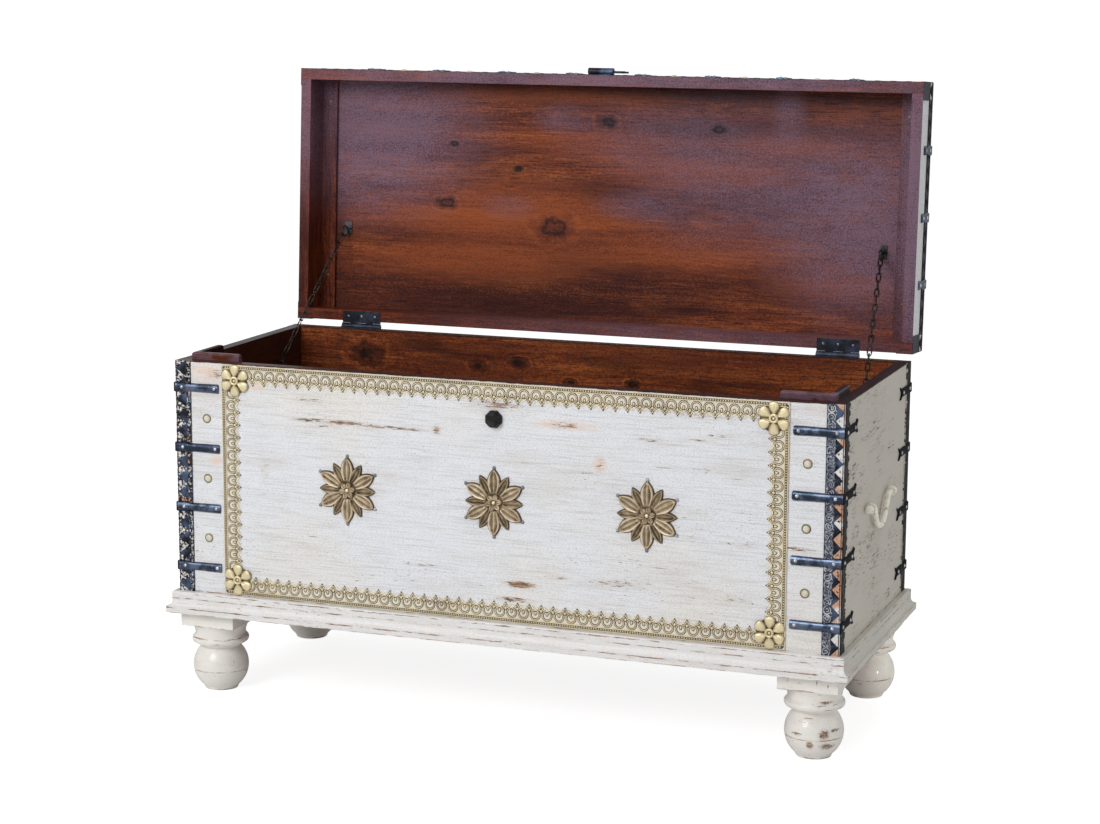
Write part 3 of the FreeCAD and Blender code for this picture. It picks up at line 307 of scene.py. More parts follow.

# Painted sheen on the closed lid: places where a reflection of the light is laid into the colour of
# the stain, with x, y, half length, half depth and strength
PANEL_SHEEN = (
    (-470, -120, 250, 170, 0.85), (480, 20, 200, 190, 0.8), (230, -60, 220, 150, 0.45),
    (-190, 10, 60, 26, 0.25), (60, -120, 160, 70, 0.3), (60, 0, 90, 30, 0.32),
    (330, -165, 34, 66, 0.42), (-90, -150, 60, 30, 0.35),
)
# Painted shade on the closed lid, darkest under its front rail, in the same columns
PANEL_SHADE = (
    (-150, 165, 460, 70, 0.75), (60, -200, 640, 34, 0.8), (-30, 110, 330, 36, 0.5),
    (220, -140, 190, 26, 0.6), (-540, 60, 40, 220, 0.7), (330, 130, 130, 60, 0.4),
)
# Lighter orange places of the stain, in the same columns
PANEL_GLOW = (
    (-170, 20, 230, 62, 0.8), (-260, 112, 270, 44, 0.7), (170, -66, 210, 34, 0.6),
    (120, 70, 270, 50, 0.65), (-20, -110, 210, 36, 0.55), (330, -110, 150, 30, 0.5),
    (-330, 40, 190, 36, 0.5), (420, 120, 150, 36, 0.5), (-130, -190, 280, 18, 0.5),
)
GLOW_STREAKS = (4, 70, 70)
TINT_CLOUDS = (16, 34, 34)
# Painted sheen on the rails of the closed lid, in the same columns
END_SHEEN = ((-570, -150, 60, 190, 0.6), (570, -20, 60, 330, 1))
LONG_SHEEN = ((0, -230, 900, 70, 0.65), (200, 228, 520, 60, 0.4))


def worn_spot(tree, centre, flat, half, high):
    """1 at a worn place and 0 around it; flat is the axis that is left out."""
    reach = [1000 / half, 1000 / half, 1000 / high]
    reach[flat] = 0
    return tree.away(centre, tuple(reach)).step(1.35, 0.3)


def paint_coat(tree, spots=(), base=None, worn=1, lines=(), bare_light=CHIP_ORANGE, grain=1,
               fleck=0, dashes=(95, 480), opened=1, rub=EDGE_RUB, peach=()):
    """Old white paint over wood: colour, roughness and height. Spots are worn places, opened
    how far they open to the wood and fleck adds dark dashes there; lines are the heights of
    worn edges, rub how far the first of them is bare; grain is how much of the wood shows."""
    broad = tree.noise((2.6, 2.6, 3.4), 2)
    colour = tree.mix(broad.step(0.38, 0.66), base or PAINT_COOL, base or PAINT_WARM)
    cloud = tree.grain(7, 26, 4)
    fine = tree.grain(11, 330, 5, 0.7)
    ridge = tree.grain(26, 230, 3, 0.6)
    salt = tree.grain(320, 620, 2, 0.6)
    colour = tree.layers(
        colour, (cloud, 0.5, 0.74, 0.22, PAINT_SMUDGE),
        (fine, 0.48, 0.64, 0.38 * grain, PAINT_SHADE),
        (ridge, 0.54, 0.68, 0.11 * grain, PAINT_SHADE),
        (salt, 0.5, 0.64, 0.46 * grain, PAINT_SHADE))
    dash = tree.grain(*dashes, 3, 0.6)
    region = tree.grain(5, 15, 3).step(0.48, 0.64)
    torn = 0.018 * worn
    speck = dash.step(0.655 - torn, 0.71 - 0.012 * worn) * region
    crack = tree.grain(13, 320, 3, 0.6).step(0.685 - torn, 0.72) * cloud.step(0.46, 0.58)
    chips = tree.grain(34, 180, 5, 0.62).step(0.685 - torn, 0.71) * region
    rubbed = tree.grain(60, 430, 4, 0.7)
    smudge = None
    for *spot, depth in spots:
        near = worn_spot(tree, *spot)
        lifted = near * (0.2 + 0.17 * depth) + rubbed
        chips = chips.most(lifted.step(0.8, 0.88) * opened)
        near = near * (0.5 * depth)
        smudge = smudge.most(near) if smudge else near
    if smudge:
        around = smudge * (0.3 + 0.7 * opened) * rubbed.step(0.3, 0.56)
        colour = tree.mix(around, colour, PAINT_SMUDGE)
        there = (smudge + rubbed * 0.6).step(0.38, 0.58)
        speck = speck.most(dash.step(0.585 - fleck, 0.66 - fleck) * there)
    for spot in peach:
        colour = tree.mix(worn_spot(tree, *spot) * rubbed.step(0.34, 0.64), colour, PAINT_PEACH)
    heights = tree.parts()[2]
    edge_noise = tree.noise((30, 30, 260), 4, 0.7)
    for level in lines:
        near = abs(heights - level / 1000).step(0.003, 0)
        weight = rub if level == lines[0] else EDGE_RUB
        chips = chips.most((near * weight + edge_noise).step(0.82, 0.88))
    bare = tree.mix(tree.grain(60, 260, 3).step(0.4, 0.62), CHIP_BROWN, bare_light)
    colour = tree.mix(chips * 0.9, colour, bare)
    dark = (speck * 0.85).most(crack * 0.8)
    colour = tree.mix(dark, colour, CHIP_DARK)
    return colour, 0.38 + cloud * 0.22, (fine + ridge) * 0.3 - chips.most(dark)


def tint_in_places(tree, colour, tint_places, tint, breaks=TINT_CLOUDS):
    """The colour under a tint in places of the closed lid, broken up by noise: painted shade,
    lighter orange stain or painted sheen, as the tint is.
    """
    sparkle = tree.noise(380, 2).step(0.4, 0.64) * 0.9
    broken = (0.1 + tree.noise(breaks, 5, 0.7) * 1.8) * (0.55 + sparkle)
    for x, y, half, deep, strength in tint_places:
        near = tree.away(metres(x, y, 0), (1000 / half, 1000 / deep, 0)).step(1.25, 0.15)
        colour = tree.mix(tree.math("MINIMUM", near * broken * strength, 0.85), colour, tint)
    return colour


def knot_rings(tree, knots, bend):
    """Rings round knots and their dark hearts. A knot is a place, a radius and two axes."""
    ringed = None
    heart = None
    for centre, radius, (long, short) in knots:
        size = [0, 0, 0]
        size[long] = 0.62 / radius
        size[short] = 1 / radius
        away = tree.away(centre, tuple(size)) + (bend * 0.6 + tree.noise(48, 4, 0.6) * 1.3)
        ring = tree.math("SINE", away * 10) * away.step(3, 1.3)
        core = away.step(1.95, 1.25)
        ringed = ringed + ring if ringed else ring
        heart = heart.most(core) if heart else core
    return ringed, heart


def stain_coat(tree, knots=(), warm=0):
    """Dark stained and varnished wood: colour, roughness and height."""
    still = tree.place
    bend = tree.grain(2.2, 7, 2)
    ringed, heart = knot_rings(tree, knots, bend)
    speckle = tree.noise(300, 3, 0.6)
    sway = tree.vector("MULTIPLY", bend, tree.drawn_out(0, 0.04))
    tree.place = tree.vector("ADD", still, sway)
    fine = tree.grain(8, 210, 5, 0.7)
    pores = tree.grain(26, 620, 2)
    wide = tree.grain(1.9, 24, 4, 0.6, 0.3)
    value = wide * 0.36 + (fine * 0.34 + tree.grain(190, 330, 4, 0.7) * 0.3)
    if ringed:
        value = value + ringed * 0.06
    colour = tree.ramp(value + warm, (0.4, STAIN_DEEP), (0.465, STAIN_MIDDLE),
                       (0.53, STAIN_RED), (0.62, STAIN_LIGHT))
    colour = tree.layers(
        colour, (tree.grain(2.6, 8, 3), 0.46, 0.68, 0.55, STAIN_MIDDLE),
        (tree.grain(4, 14, 4), 0.54, 0.7, 0.3, STAIN_LIGHT),
        (tree.grain(5, 26, 4, 0.6), 0.54, 0.7, 0.55, STAIN_DEEP),
        (pores, 0.54, 0.66, 0.8, STAIN_DEEP), (speckle, 0.54, 0.64, 0.62, STAIN_DEEP))
    if heart:
        colour = tree.mix(heart * 0.9, colour, STAIN_KNOT)
    rough = 0.24 + tree.grain(12, 90, 4) * 0.3
    height = fine + tree.noise(420, 2) * 0.3 - pores.step(0.58, 0.72)
    tree.place = still
    return colour, rough, height


def two_coats(tree, share, first, second):
    """The first coat where share is 0 and the second where it is 1."""
    colour = tree.mix(share, first[0], second[0])
    rough, height = (a + share * (b - a) for a, b in zip(first[1:], second[1:]))
    return tree.finish(colour, rough, height, 0.0007, 0.5)


def varnish(tree):
    """A thin clear coat with a cool sheen."""
    tree.shine(0.1, 0.12, 0.26)
    tree.join(tree.shader.inputs["Specular Tint"], (0.86, 0.72, 1))


def reaches(value, limit):
    """1 where a value comes up to a limit in millimetres."""
    return value.step((limit - 0.7) / 1000, (limit - 0.4) / 1000)


def outside_of(tree, is_lid=False):
    """1 on the painted outside of the case or the closed lid and 0 elsewhere."""
    x, y, z = tree.parts()
    outer = reaches(abs(x), HALF_LONG).most(reaches(abs(y - SHIFT), HALF_DEEP))
    if is_lid:
        above = tree.math("GREATER_THAN", z, (LID_BOTTOM + 0.8) / 1000)
        return outer.most(reaches(z, LID_TOP)) * above
    limit = RIM / 1000 - 0.0004 - tree.noise(60, 3) * 0.0022
    return outer * tree.math("LESS_THAN", z, limit)


def on_front(wear):
    """Worn places of the front as a place, the flat axis and sizes."""
    return [(metres(x, -HALF_DEEP, z), 1, *sizes) for x, z, *sizes in wear]


def on_side(wear):
    return [(metres(HALF_LONG, y, z), 0, half * SIDE_STRETCH, *sizes) for y, z, half, *sizes in wear]


def board_material(name, axis, spots=(), worn=1, knots=(), base=None, warm=0, inner_shade=0,
                   rim_dark=0.8, **coat):
    """A board of the case. Warm lightens the stain and rim_dark blackens it at the rim; another
    share blackens the stain all over as painted shade inside the case.
    """
    tree = Tree(name, axis)
    tree.shine(0.14, 0.05, 0.4)
    colour, *rest = stain_coat(tree, knots, warm)
    rim = tree.parts()[2].step((RIM - 3) / 1000, (RIM - 0.5) / 1000)
    # Painted shade: the stain blackened where the inside of the case lies in shade
    colour = tree.mix(inner_shade, colour, STAIN_KNOT)
    colour = tree.mix(rim * rim_dark, colour, STAIN_RIM)
    paint = paint_coat(tree, spots, base, worn, (PLINTH_TOP + 1,), **coat)
    return two_coats(tree, outside_of(tree), (colour, *rest), paint)


def lid_material(name, axis, tint_places, knots=(), painted_shade=(), warm=0, glow=()):
    """A board of the lid: white outside, stained inside and underneath."""
    tree = Tree(name, axis)
    opened = tree.place
    inputs = {"Vector": opened, "Center": metres(0, HINGE_Y, HINGE_Z), "Angle": -LID_TURN}
    closed = tree.node("VectorRotate", inputs, rotation_type="X_AXIS")
    tree.place = Value(tree, closed.outputs["Vector"])
    colour, *rest = stain_coat(tree, knots, warm)
    # Painted shade: the stain darkened in places
    colour = tint_in_places(tree, colour, painted_shade, STAIN_DEEP)
    colour = tint_in_places(tree, colour, glow, STAIN_GLOW, GLOW_STREAKS)
    # Painted sheen: a reflection of the light laid into the colour in places
    colour = tint_in_places(tree, colour, tint_places, STAIN_SHEEN)
    if knots:
        ringed, heart = knot_rings(tree, knots, tree.grain(2.2, 7, 2))
        colour = tree.mix(heart * (0.66 + ringed * 0.26), colour, STAIN_KNOT)
    outside = outside_of(tree, True)
    varnish(tree)
    tree.place = opened
    tree.axis = 0
    return two_coats(tree, outside, (colour, *rest), paint_coat(tree))


def plain_stain(name, painted_sheen=0):
    """Stained wood; its share lays a painted highlight in patches on its front, and behind that
    front it is almost black.
    """
    tree = Tree(name)
    varnish(tree)
    colour, rough, height = stain_coat(tree)
    if painted_sheen:
        colour = tree.mix(0.5, colour, STAIN_RIM)
        patch = tree.noise((30, 60, 60), 4)
        # Painted highlight in patches on the front
        colour = tree.layers(colour, (patch, 0.36, 0.6, painted_sheen, STAIN_SHEEN))
        behind = tree.parts()[1] - (SHIFT - HALF_DEEP / 1000)
        colour = tree.mix(behind.step(0.036, 0.042), colour, STAIN_RIM)
    return tree.finish(colour, rough, height, 0.0006, 0.5)


def plinth_material(name, axis, base=PAINT_PLINTH, rub=EDGE_RUB):
    tree = Tree(name, axis)
    coat = paint_coat(tree, (), base, 1.8, PLINTH_EDGES, grain=0.55, rub=rub)
    return tree.finish(*coat, 0.0007, 0.6)


def foot_material(name, spots=()):
    """Glossy cream paint, rubbed through on the ball and its grooves."""
    tree = Tree(name)
    tree.shine(coat=0.5, coat_rough=0.12)
    coat = paint_coat(tree, spots, PAINT_CREAM, 1.6, FOOT_EDGES, CHIP_TAN, 0.22)
    return tree.finish(*coat, 0.0006, 0.4)


def iron_material(name, base, tint, rough, metal=0.85, rust=0.35, mirror=0.5):
    """Forged iron: blotched, brushed and a little rusty."""
    tree = Tree(name)
    tree.shine(mirror)
    blotch = tree.noise(38, 5, 0.6)
    colour = tree.mix(blotch.step(0.4, 0.66), base, tint)
    colour = tree.layers(colour, (tree.noise(90, 4), 0.6, 0.72, rust, IRON_BROWN))
    height = blotch + tree.noise(420, 3) * 0.4
    return tree.finish(colour, rough + blotch * 0.3, height, 0.0006, 0.45, metal)


def strap_material(name):
    """Blued straps, rounded, and black where they lie on the side."""
    tree = Tree(name)
    tree.shine(0.08)
    x, y, z = tree.parts()
    half = STRAP_PITCH / 2000
    share = tree.math("WRAP", z - (RIM - STRAP_FIRST) / 1000, half, -half) / (STRAP_HALF / 1000)
    blotch = tree.noise(34, 4, 0.6)
    colour = tree.mix(blotch.step(0.42, 0.62), STRAP_DARK, STRAP_BLUE)
    scratch = tree.noise((60, 60, 700), 3)
    colour = tree.layers(colour, (scratch, 0.56, 0.7, 0.3, STRAP_SCRATCH))
    side = abs(x).step(HALF_LONG / 1000 + 0.0004, HALF_LONG / 1000 + 0.0012)
    colour = tree.mix(side, colour, IRON_BLACK)
    rough = 0.16 + blotch * 0.24 + side * 0.45
    height = (1 - share * share) * 3.2 + blotch * 0.25
    return tree.finish(colour, rough, height, 0.001, 1, 0.92 - side * 0.9)


def ground_material(name):
    """The painted ground of a metal angle, with black flanks that have a ragged inner edge."""
    tree = Tree(name)
    tree.shine(0.12)
    reach = (HALF_DEEP + 0.6) / 1000
    x, y, z = tree.parts()
    far = abs(y - SHIFT)
    right = x.step(0, 0.001)
    low = z.step(0.5, 0.44) * right
    hue = tree.noise((14, 14, 22), 2) + (low * 0.14 - 0.11) + right * 0.05
    colour = tree.mix(hue.step(0.46, 0.58), GROUND_WHITE, GROUND_PEACH)
    # Navy with pale specks, the specks painted glints of the relief
    navy = tree.mix(tree.noise(330, 3).step(0.55, 0.62), GROUND_NAVY, GROUND_GLINT)
    inner = abs(x).step(0.5635, 0.561)
    colour = tree.mix(inner * (0.25 + right * 0.7), colour, navy)
    dark_marks = tree.noise(190, 5, 0.65)
    dirt_here = dark_marks + (0.095 - right * 0.095)
    colour = tree.mix(dirt_here.step(0.54, 0.62), colour, IRON_BLACK)
    flank = tree.mix(tree.noise(60, 4).step(0.5, 0.7), FLANK_BLACK, FLANK_BROWN)
    inward = far.step(reach - 0.019, reach - 0.034)
    ragged = tree.noise((40, 40, 110), 5, 0.7) + inward * 0.26
    # Ragged side paint over the flank, darkened partly as painted shade
    flank = tree.mix(ragged.step(0.66, 0.7), flank, PAINT_SIDE_SHADED)
    colour = tree.mix(far.step(reach - 0.0003, reach), flank, colour)
    return tree.finish(colour, 0.36 + dark_marks * 0.3, dark_marks, 0.0006, 0.5)


def brass_material(name, deep, pale, washed=0, metal=0.5):
    """Embossed brass, dark low down, pale at the height deep, under wash that thins out."""
    tree = Tree(name)
    x, y, z = tree.parts()
    blotch = tree.noise(90, 5, 0.6)
    rise = (metres(0, -HALF_DEEP, 0)[1] - y) / deep + (blotch - 0.5) * 0.8
    colour = tree.ramp(rise, (0.22, BRASS_DARK), (0.52, BRASS_MIDDLE), (0.84, pale))
    colour = tree.layers(colour, (tree.noise(16, 3), 0.5, 0.7, 0.4, BRASS_PATINA))
    if washed:
        wash = (tree.noise(12, 2) + x * -0.16) * 0.6 + tree.noise(150, 4, 0.6) * 0.4
        colour = tree.layers(colour, (wash, 0.4, 0.56, washed, BRASS_WASH))
    return tree.finish(colour, 0.28 + blotch * 0.3, tree.noise(520, 2) + blotch, 0.0005, 0.4, metal)


def cream_material(name, base):
    """Cream paint on iron, dirty in patches."""
    tree = Tree(name)
    blotch = tree.noise(60, 4, 0.6)
    colour = tree.layers(base, (blotch, 0.5, 0.72, 0.65, CREAM_DARK))
    colour = tree.mix(tree.noise(160, 4).step(0.66, 0.7), colour, IRON_BROWN)
    return tree.finish(colour, 0.34 + blotch * 0.25, blotch, 0.0006, 0.4)


def starting(*beginnings):
    """CAD nodes whose names start so."""
    return [node for name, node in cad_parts.items() if name.startswith(beginnings)]


def give(material, *beginnings):
    """Puts a material on CAD nodes."""
    for node in starting(*beginnings):
        node.data.materials.clear()
        node.data.materials.append(material)


# What the metal CAD nodes wear, by the beginnings of their names. Irons have a base, a tint,
# roughness, metal, rust and mirror; brasses the height at which they are brightest, that colour,
# wash and metal.
METAL_LOOKS = (
    (("hasp_",), iron_material, "iron_strip", (0.012, 0.014, 0.02), IRON_BLUE, 0.26, 0.8, 0.25),
    (("chain_", "flower_nails", "hasp_boss"), iron_material, "iron_old", (0.016, 0.015, 0.015),
     (0.06, 0.052, 0.046), 0.34, 0.8, 0.6),
    (("hinge_",), iron_material, "iron_hinge", (0.01, 0.012, 0.018), (0.035, 0.045, 0.075),
     0.22, 0.7, 0.2),
    (("strap_nails", "lid_strap_nails"), iron_material, "iron_nail", (0.34, 0.35, 0.37),
     (0.66, 0.67, 0.7), 0.22, 0.8, 0.1),
    (("lid_edge_strips",), iron_material, "iron_lid_strip", (0.01, 0.011, 0.013),
     (0.04, 0.05, 0.075), 0.34, 0.7, 0.3, 0.25),
    (("lid_straps",), iron_material, "iron_lid_strap", STRAP_DARK, STRAP_BLUE, 0.2, 0.9, 0.15),
    (("lid_chain_plates",), iron_material, "iron_plate", (0.02, 0.019, 0.019), (0.1, 0.1, 0.105),
     0.24, 0.85, 0.35),
    ((), iron_material, "iron_tack", (0.17, 0.18, 0.22), (0.44, 0.46, 0.52), 0.34, 0.45, 0.15),
    ((), iron_material, "iron_curl", (0.2, 0.22, 0.28), (0.62, 0.63, 0.66), 0.35, 0.3, 0.1),
    ((), iron_material, "iron_side", (0.006, 0.006, 0.007), (0.02, 0.017, 0.016), 0.55, 0.1, 0.4,
     0.12),
    ((), iron_material, "stud_ring", (0.13, 0.105, 0.05), (0.3, 0.26, 0.15), 0.35, 0.4, 0.3),
    # brass_hollow: dark brass laid in the hollows of the brass, painted shade and grime
    ((), iron_material, "brass_hollow", (0.065, 0.044, 0.024), (0.15, 0.11, 0.06), 0.5, 0.2, 0.3),
    (("border_top", "border_bottom", "border_left", "border_right"), brass_material,
     "brass_plate", 0.001, (0.74, 0.68, 0.57), 0.95, 0.1),
    (("border_rosettes",), brass_material, "brass_rosette", 0.0062, (0.74, 0.64, 0.4)),
    (("flower_left", "flower_centre", "flower_right"), brass_material, "brass_flower", 0.0058,
     (0.86, 0.72, 0.56)),
    ((), brass_material, "brass_border", 0.0025, (0.74, 0.64, 0.42), 0.25),
    (("front_studs", "lid_studs"), cream_material, "paint_cream", CREAM),
    (("handle_",), cream_material, "paint_handle", HANDLE_CREAM),
    (("corner_strip_",), ground_material, "iron_ground"),
    (("corner_straps",), strap_material, "iron_strap"),
)
METALS = {}


def dress_wood():
    """Materials for the wooden CAD nodes."""
    back = [(metres(x, HALF_DEEP - 20, z), size / 1000, (0, 2)) for x, z, size in BACK_KNOTS]
    under = [(metres(x, y, LID_UNDER), size / 1000, (0, 1)) for x, y, size in LID_KNOTS]
    give(board_material("paint_front", 0, on_front(FRONT_WEAR), peach=on_front(FRONT_PEACH)),
         "front_board")
    give(board_material("paint_back", 0, knots=back, warm=0.045), "back_board")
    # The inside of the left board is blackened as painted shade
    give(board_material("paint_left", 1, worn=3, base=PAINT_SIDE_SHADED, inner_shade=0.8), "left_side_board")
    # The right side's paint is darkened partly as painted shade
    give(board_material("paint_side", 1, on_side(SIDE_WEAR), 4.6, base=PAINT_SIDE_SHADED, warm=-0.02,
                        rim_dark=1, grain=0.45, fleck=0.055, dashes=(38, 400), opened=0.06),
         "right_side_board")
    give(plinth_material("paint_plinth", 0), "plinth_front", "plinth_back")
    # The plinth's ends are darkened as painted shade
    give(plinth_material("paint_plinth_end", 1, PAINT_END_SHADED, 0.43), "plinth_left", "plinth_right")
    give(foot_material("paint_foot"), "foot_")
    give(foot_material("paint_foot_chipped", on_front(FOOT_WEAR)), "foot_front_right")
    give(plain_stain("stain_floor"), "bottom_board")
    give(plain_stain("stain_cleat", 0.45), "locating_cleat")
    give(lid_material("stain_lid_panel", 0, PANEL_SHEEN, under, PANEL_SHADE, glow=PANEL_GLOW),
         "lid_panel")
    give(lid_material("stain_lid_long", 0, LONG_SHEEN, warm=-0.02), "lid_front_rail", "lid_back_rail")
    give(lid_material("stain_lid_end", 1, END_SHEEN, warm=-0.03), "lid_left_rail", "lid_right_rail",
         "lid_battens")


def dress_metal():
    for beginnings, make, name, *look in METAL_LOOKS:
        METALS[name] = make(name, *look)
        give(METALS[name], *beginnings)


# Camera, light and floor

PHOTO_WIDE = 1100
FOCAL_PIXELS = 2534.17
SENSOR = 36
CAMERA_PLACE = (1475.96, -3947.17, 1249.37)
CAMERA_RIGHT = Vector((0.9372, 0.3488, 0.0046))
CAMERA_DOWN = Vector((0.0664, -0.1653, -0.984))
CAMERA_FORWARD = Vector((-0.3424, 0.9225, -0.1781))

WORLD_LIGHT = 0.38
WORLD_MIRRORED = 0.72
WHITE = (1, 1, 1)
FLOOR_REACH = 60
FLOOR_LIT = (0.92, 0.92, 0.92)
FLOOR_SHOWN = (0.42, 0.42, 0.42)
FLOOR_GLOW = 0.86
# Lamps with their place, target, size, power and, for a spot, the width of its cone
LAMPS = (
    ("key", (-1.5, -4.4, 2.9), (0, 0, 0.5), 2.4, 121),
    ("top", (0.6, -0.6, 4.2), (0, 0, 0.5), 2.4, 36),
    ("fill", (3.2, 0.7, 0.7), (0.5, 0.1, 0.15), 1.6, 7),
    ("foot_light", (2.2, -0.9, 0.22), (0.525, 0.112, 0.055), 0.06, 34, 7.5),
)
SPOT_COLOUR = (1, 0.96, 0.86)


def add_object(name, data):
    item = bpy.data.objects.new(name, data)
    bpy.context.scene.collection.objects.link(item)
    return item


def add_camera():
    data = bpy.data.cameras.new("camera")
    data.sensor_width = SENSOR
    data.sensor_fit = "HORIZONTAL"
    data.lens = FOCAL_PIXELS / PHOTO_WIDE * SENSOR
    camera = add_object("camera", data)
    turn = Matrix((CAMERA_RIGHT, -CAMERA_DOWN, -CAMERA_FORWARD)).transposed().to_4x4()
    camera.matrix_world = Matrix.Translation(metres(*CAMERA_PLACE)) @ turn
    bpy.context.scene.camera = camera


def add_lamp(name, place, target, size, power, cone=None):
    """A soft round lamp, or a warm spot on one part."""
    data = bpy.data.lights.new(name, "SPOT" if cone else "AREA")
    data.energy = power
    if cone:
        data.shadow_soft_size = size
        data.spot_size = radians(cone)
        data.spot_blend = 1
        data.color = SPOT_COLOUR
    else:
        data.shape = "DISK"
        data.size = size
    lamp = add_object(name, data)
    lamp.location = place
    aim = Vector(target) - Vector(place)
    lamp.rotation_euler = aim.to_track_quat("-Z", "Y").to_euler()


def add_world():
    """White behind the object and in its reflections, softer as light."""
    world = bpy.data.worlds.new("world")
    tree = Nodes(world)
    tree.nodes.clear()
    path = tree.node("LightPath").outputs
    mirrored = tree.node("MapRange", {"Value": path["Is Glossy Ray"], "To Min": WORLD_LIGHT,
                                      "To Max": WORLD_MIRRORED}).outputs["Result"]
    strength = tree.node("Math", {0: path["Is Camera Ray"], 1: mirrored}, operation="MAXIMUM")
    back = tree.node("Background", {"Color": WHITE, "Strength": strength.outputs[0]})
    tree.node("OutputWorld", {"Surface": back.outputs[0]})
    bpy.context.scene.world = world


def add_floor():
    """A pale floor that stays white to the camera and keeps the chest's shadow."""
    mesh = bpy.data.meshes.new("floor")
    corners = [(x * FLOOR_REACH, y * FLOOR_REACH, 0) for x, y in SQUARE]
    mesh.from_pydata(corners, [], [(0, 1, 2, 3)])
    add_object("floor", mesh)
    material = bpy.data.materials.new("floor")
    tree = Nodes(material)
    tree.nodes.clear()
    lit, shown = (tree.node("BsdfDiffuse", {"Color": colour}).outputs[0]
                  for colour in (FLOOR_LIT, FLOOR_SHOWN))
    glow = tree.node("Emission", {"Strength": FLOOR_GLOW}).outputs[0]
    both = tree.node("AddShader", {0: shown, 1: glow}).outputs[0]
    camera_ray = tree.node("LightPath").outputs["Is Camera Ray"]
    choice = tree.node("MixShader", {0: camera_ray, 1: lit, 2: both}).outputs[0]
    tree.node("OutputMaterial", {"Surface": choice})
    mesh.materials.append(material)


def add_stage():
    add_camera()
    add_world()
    add_floor()
    for lamp in LAMPS:
        add_lamp(*lamp)
    bpy.context.scene.view_settings.view_transform = "Standard"


# Shapes

def round_points(centre, first, second, wide, high, angles):
    """Points round a centre, wide along the first direction and high along the second."""
    return [centre + first * (wide * cos(a)) + second * (high * sin(a)) for a in angles]


def arc(centre, first, second, radius, start, end, steps):
    """Points on an arc from start to end, in degrees."""
    angles = [radians(start + (end - start) * i / steps) for i in range(steps + 1)]
    return round_points(centre, first, second, radius, radius, angles)


def full_turn(sides):
    return [2 * pi * i / sides for i in range(sides)]


class Form:
    """Points and faces that grow into one mesh, in millimetres."""

    def __init__(self):
        self.points = []
        self.faces = []

    def grid(self, rows, closed=False):
        """Faces over rows of equally many points; closed joins the ends of each row."""
        start = len(self.points)
        count = len(rows[0])
        for row in rows:
            self.points.extend(row)
        for r in range(len(rows) - 1):
            for c in range(count if closed else count - 1):
                a = start + r * count + c
                b = start + r * count + (c + 1) % count
                self.faces.append((a, b, b + count, a + count))

    def lid(self, row):
        """One face over a closed row of points."""
        start = len(self.points)
        self.points.extend(row)
        self.faces.append(tuple(range(start, start + len(row))))

    def dome(self, centre, radius, high, sides, rings, along=None, longer=1, out=FRONT):
        """A low dome; along and longer stretch it one way."""
        first = along or out.orthogonal().normalized()
        rows = []
        for ring in range(rings):
            angle = pi / 2 * ring / rings
            reach = radius * cos(angle)
            rows.append(round_points(centre + out * (high * sin(angle)), first, out.cross(first),
                                     reach * longer, reach, full_turn(sides)))
        self.grid(rows, True)
        top = len(self.points)
        self.points.append(centre + out * high)
        last = top - sides
        self.faces.extend((last + i, last + (i + 1) % sides, top) for i in range(sides))

    def wire(self, path, radius, sides, closed=False, thin=1, normal=FRONT):
        """A wire along a path that lies flat to the normal; thin flattens it."""
        rows = []
        for i, point in enumerate(path):
            before = path[i - 1] if closed or i else point
            after = path[(i + 1) % len(path)] if closed or i < len(path) - 1 else point
            side = (after - before).normalized().cross(normal).normalized()
            rows.append(round_points(point, side, normal, radius, radius * thin, full_turn(sides)))
        if closed:
            rows.append(rows[0])
        self.grid(rows, True)
        if not closed:
            self.lid(rows[0])
            self.lid(rows[-1])

    def block(self, outline, out, low, high, inset=0):
        """A plate over an outline, its top drawn in by an inset."""
        middle = sum(outline, Vector()) / len(outline)
        top = [middle + (p - middle) * (1 - inset) + out * high for p in outline]
        self.grid([[p + out * low for p in outline], top], True)
        self.lid(top)


PLACES = {"chest": CHEST, "lid": LID}
MERGED = 0.000005


def make_piece(name, form, material, body="chest", replaced=(), soften=60):
    """One object of the scene from a form, smooth but for edges of more degrees than soften."""
    mesh = bpy.data.meshes.new(name)
    mesh.from_pydata([tuple(PLACES[body] @ p) for p in form.points], [], form.faces)
    work = bmesh.new()
    work.from_mesh(mesh)
    bmesh.ops.remove_doubles(work, verts=work.verts, dist=MERGED)
    bmesh.ops.recalc_face_normals(work, faces=work.faces)
    if soften:
        for face in work.faces:
            face.smooth = True
        for edge in work.edges:
            if len(edge.link_faces) == 2 and edge.calc_face_angle(0) > radians(soften):
                edge.smooth = False
    work.to_mesh(mesh)
    work.free()
    mesh.materials.append(METALS[material])
    piece = add_object(name, mesh)
    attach(piece, body)
    if replaced:
        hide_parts(*replaced)


# Brass on the front

BORDER_INSET = 86
BORDER_MARGIN = 2
BORDER_WIDE = 27
BORDER_PITCH = 20.5
PLATE_HIGH = 1.2
ROPE_WIDE = 7.5
ROPE_HIGH = 2.2
RING_DEEP = 16.8
RING_RADIUS = 7.7
BEAD_PITCH = 4.1


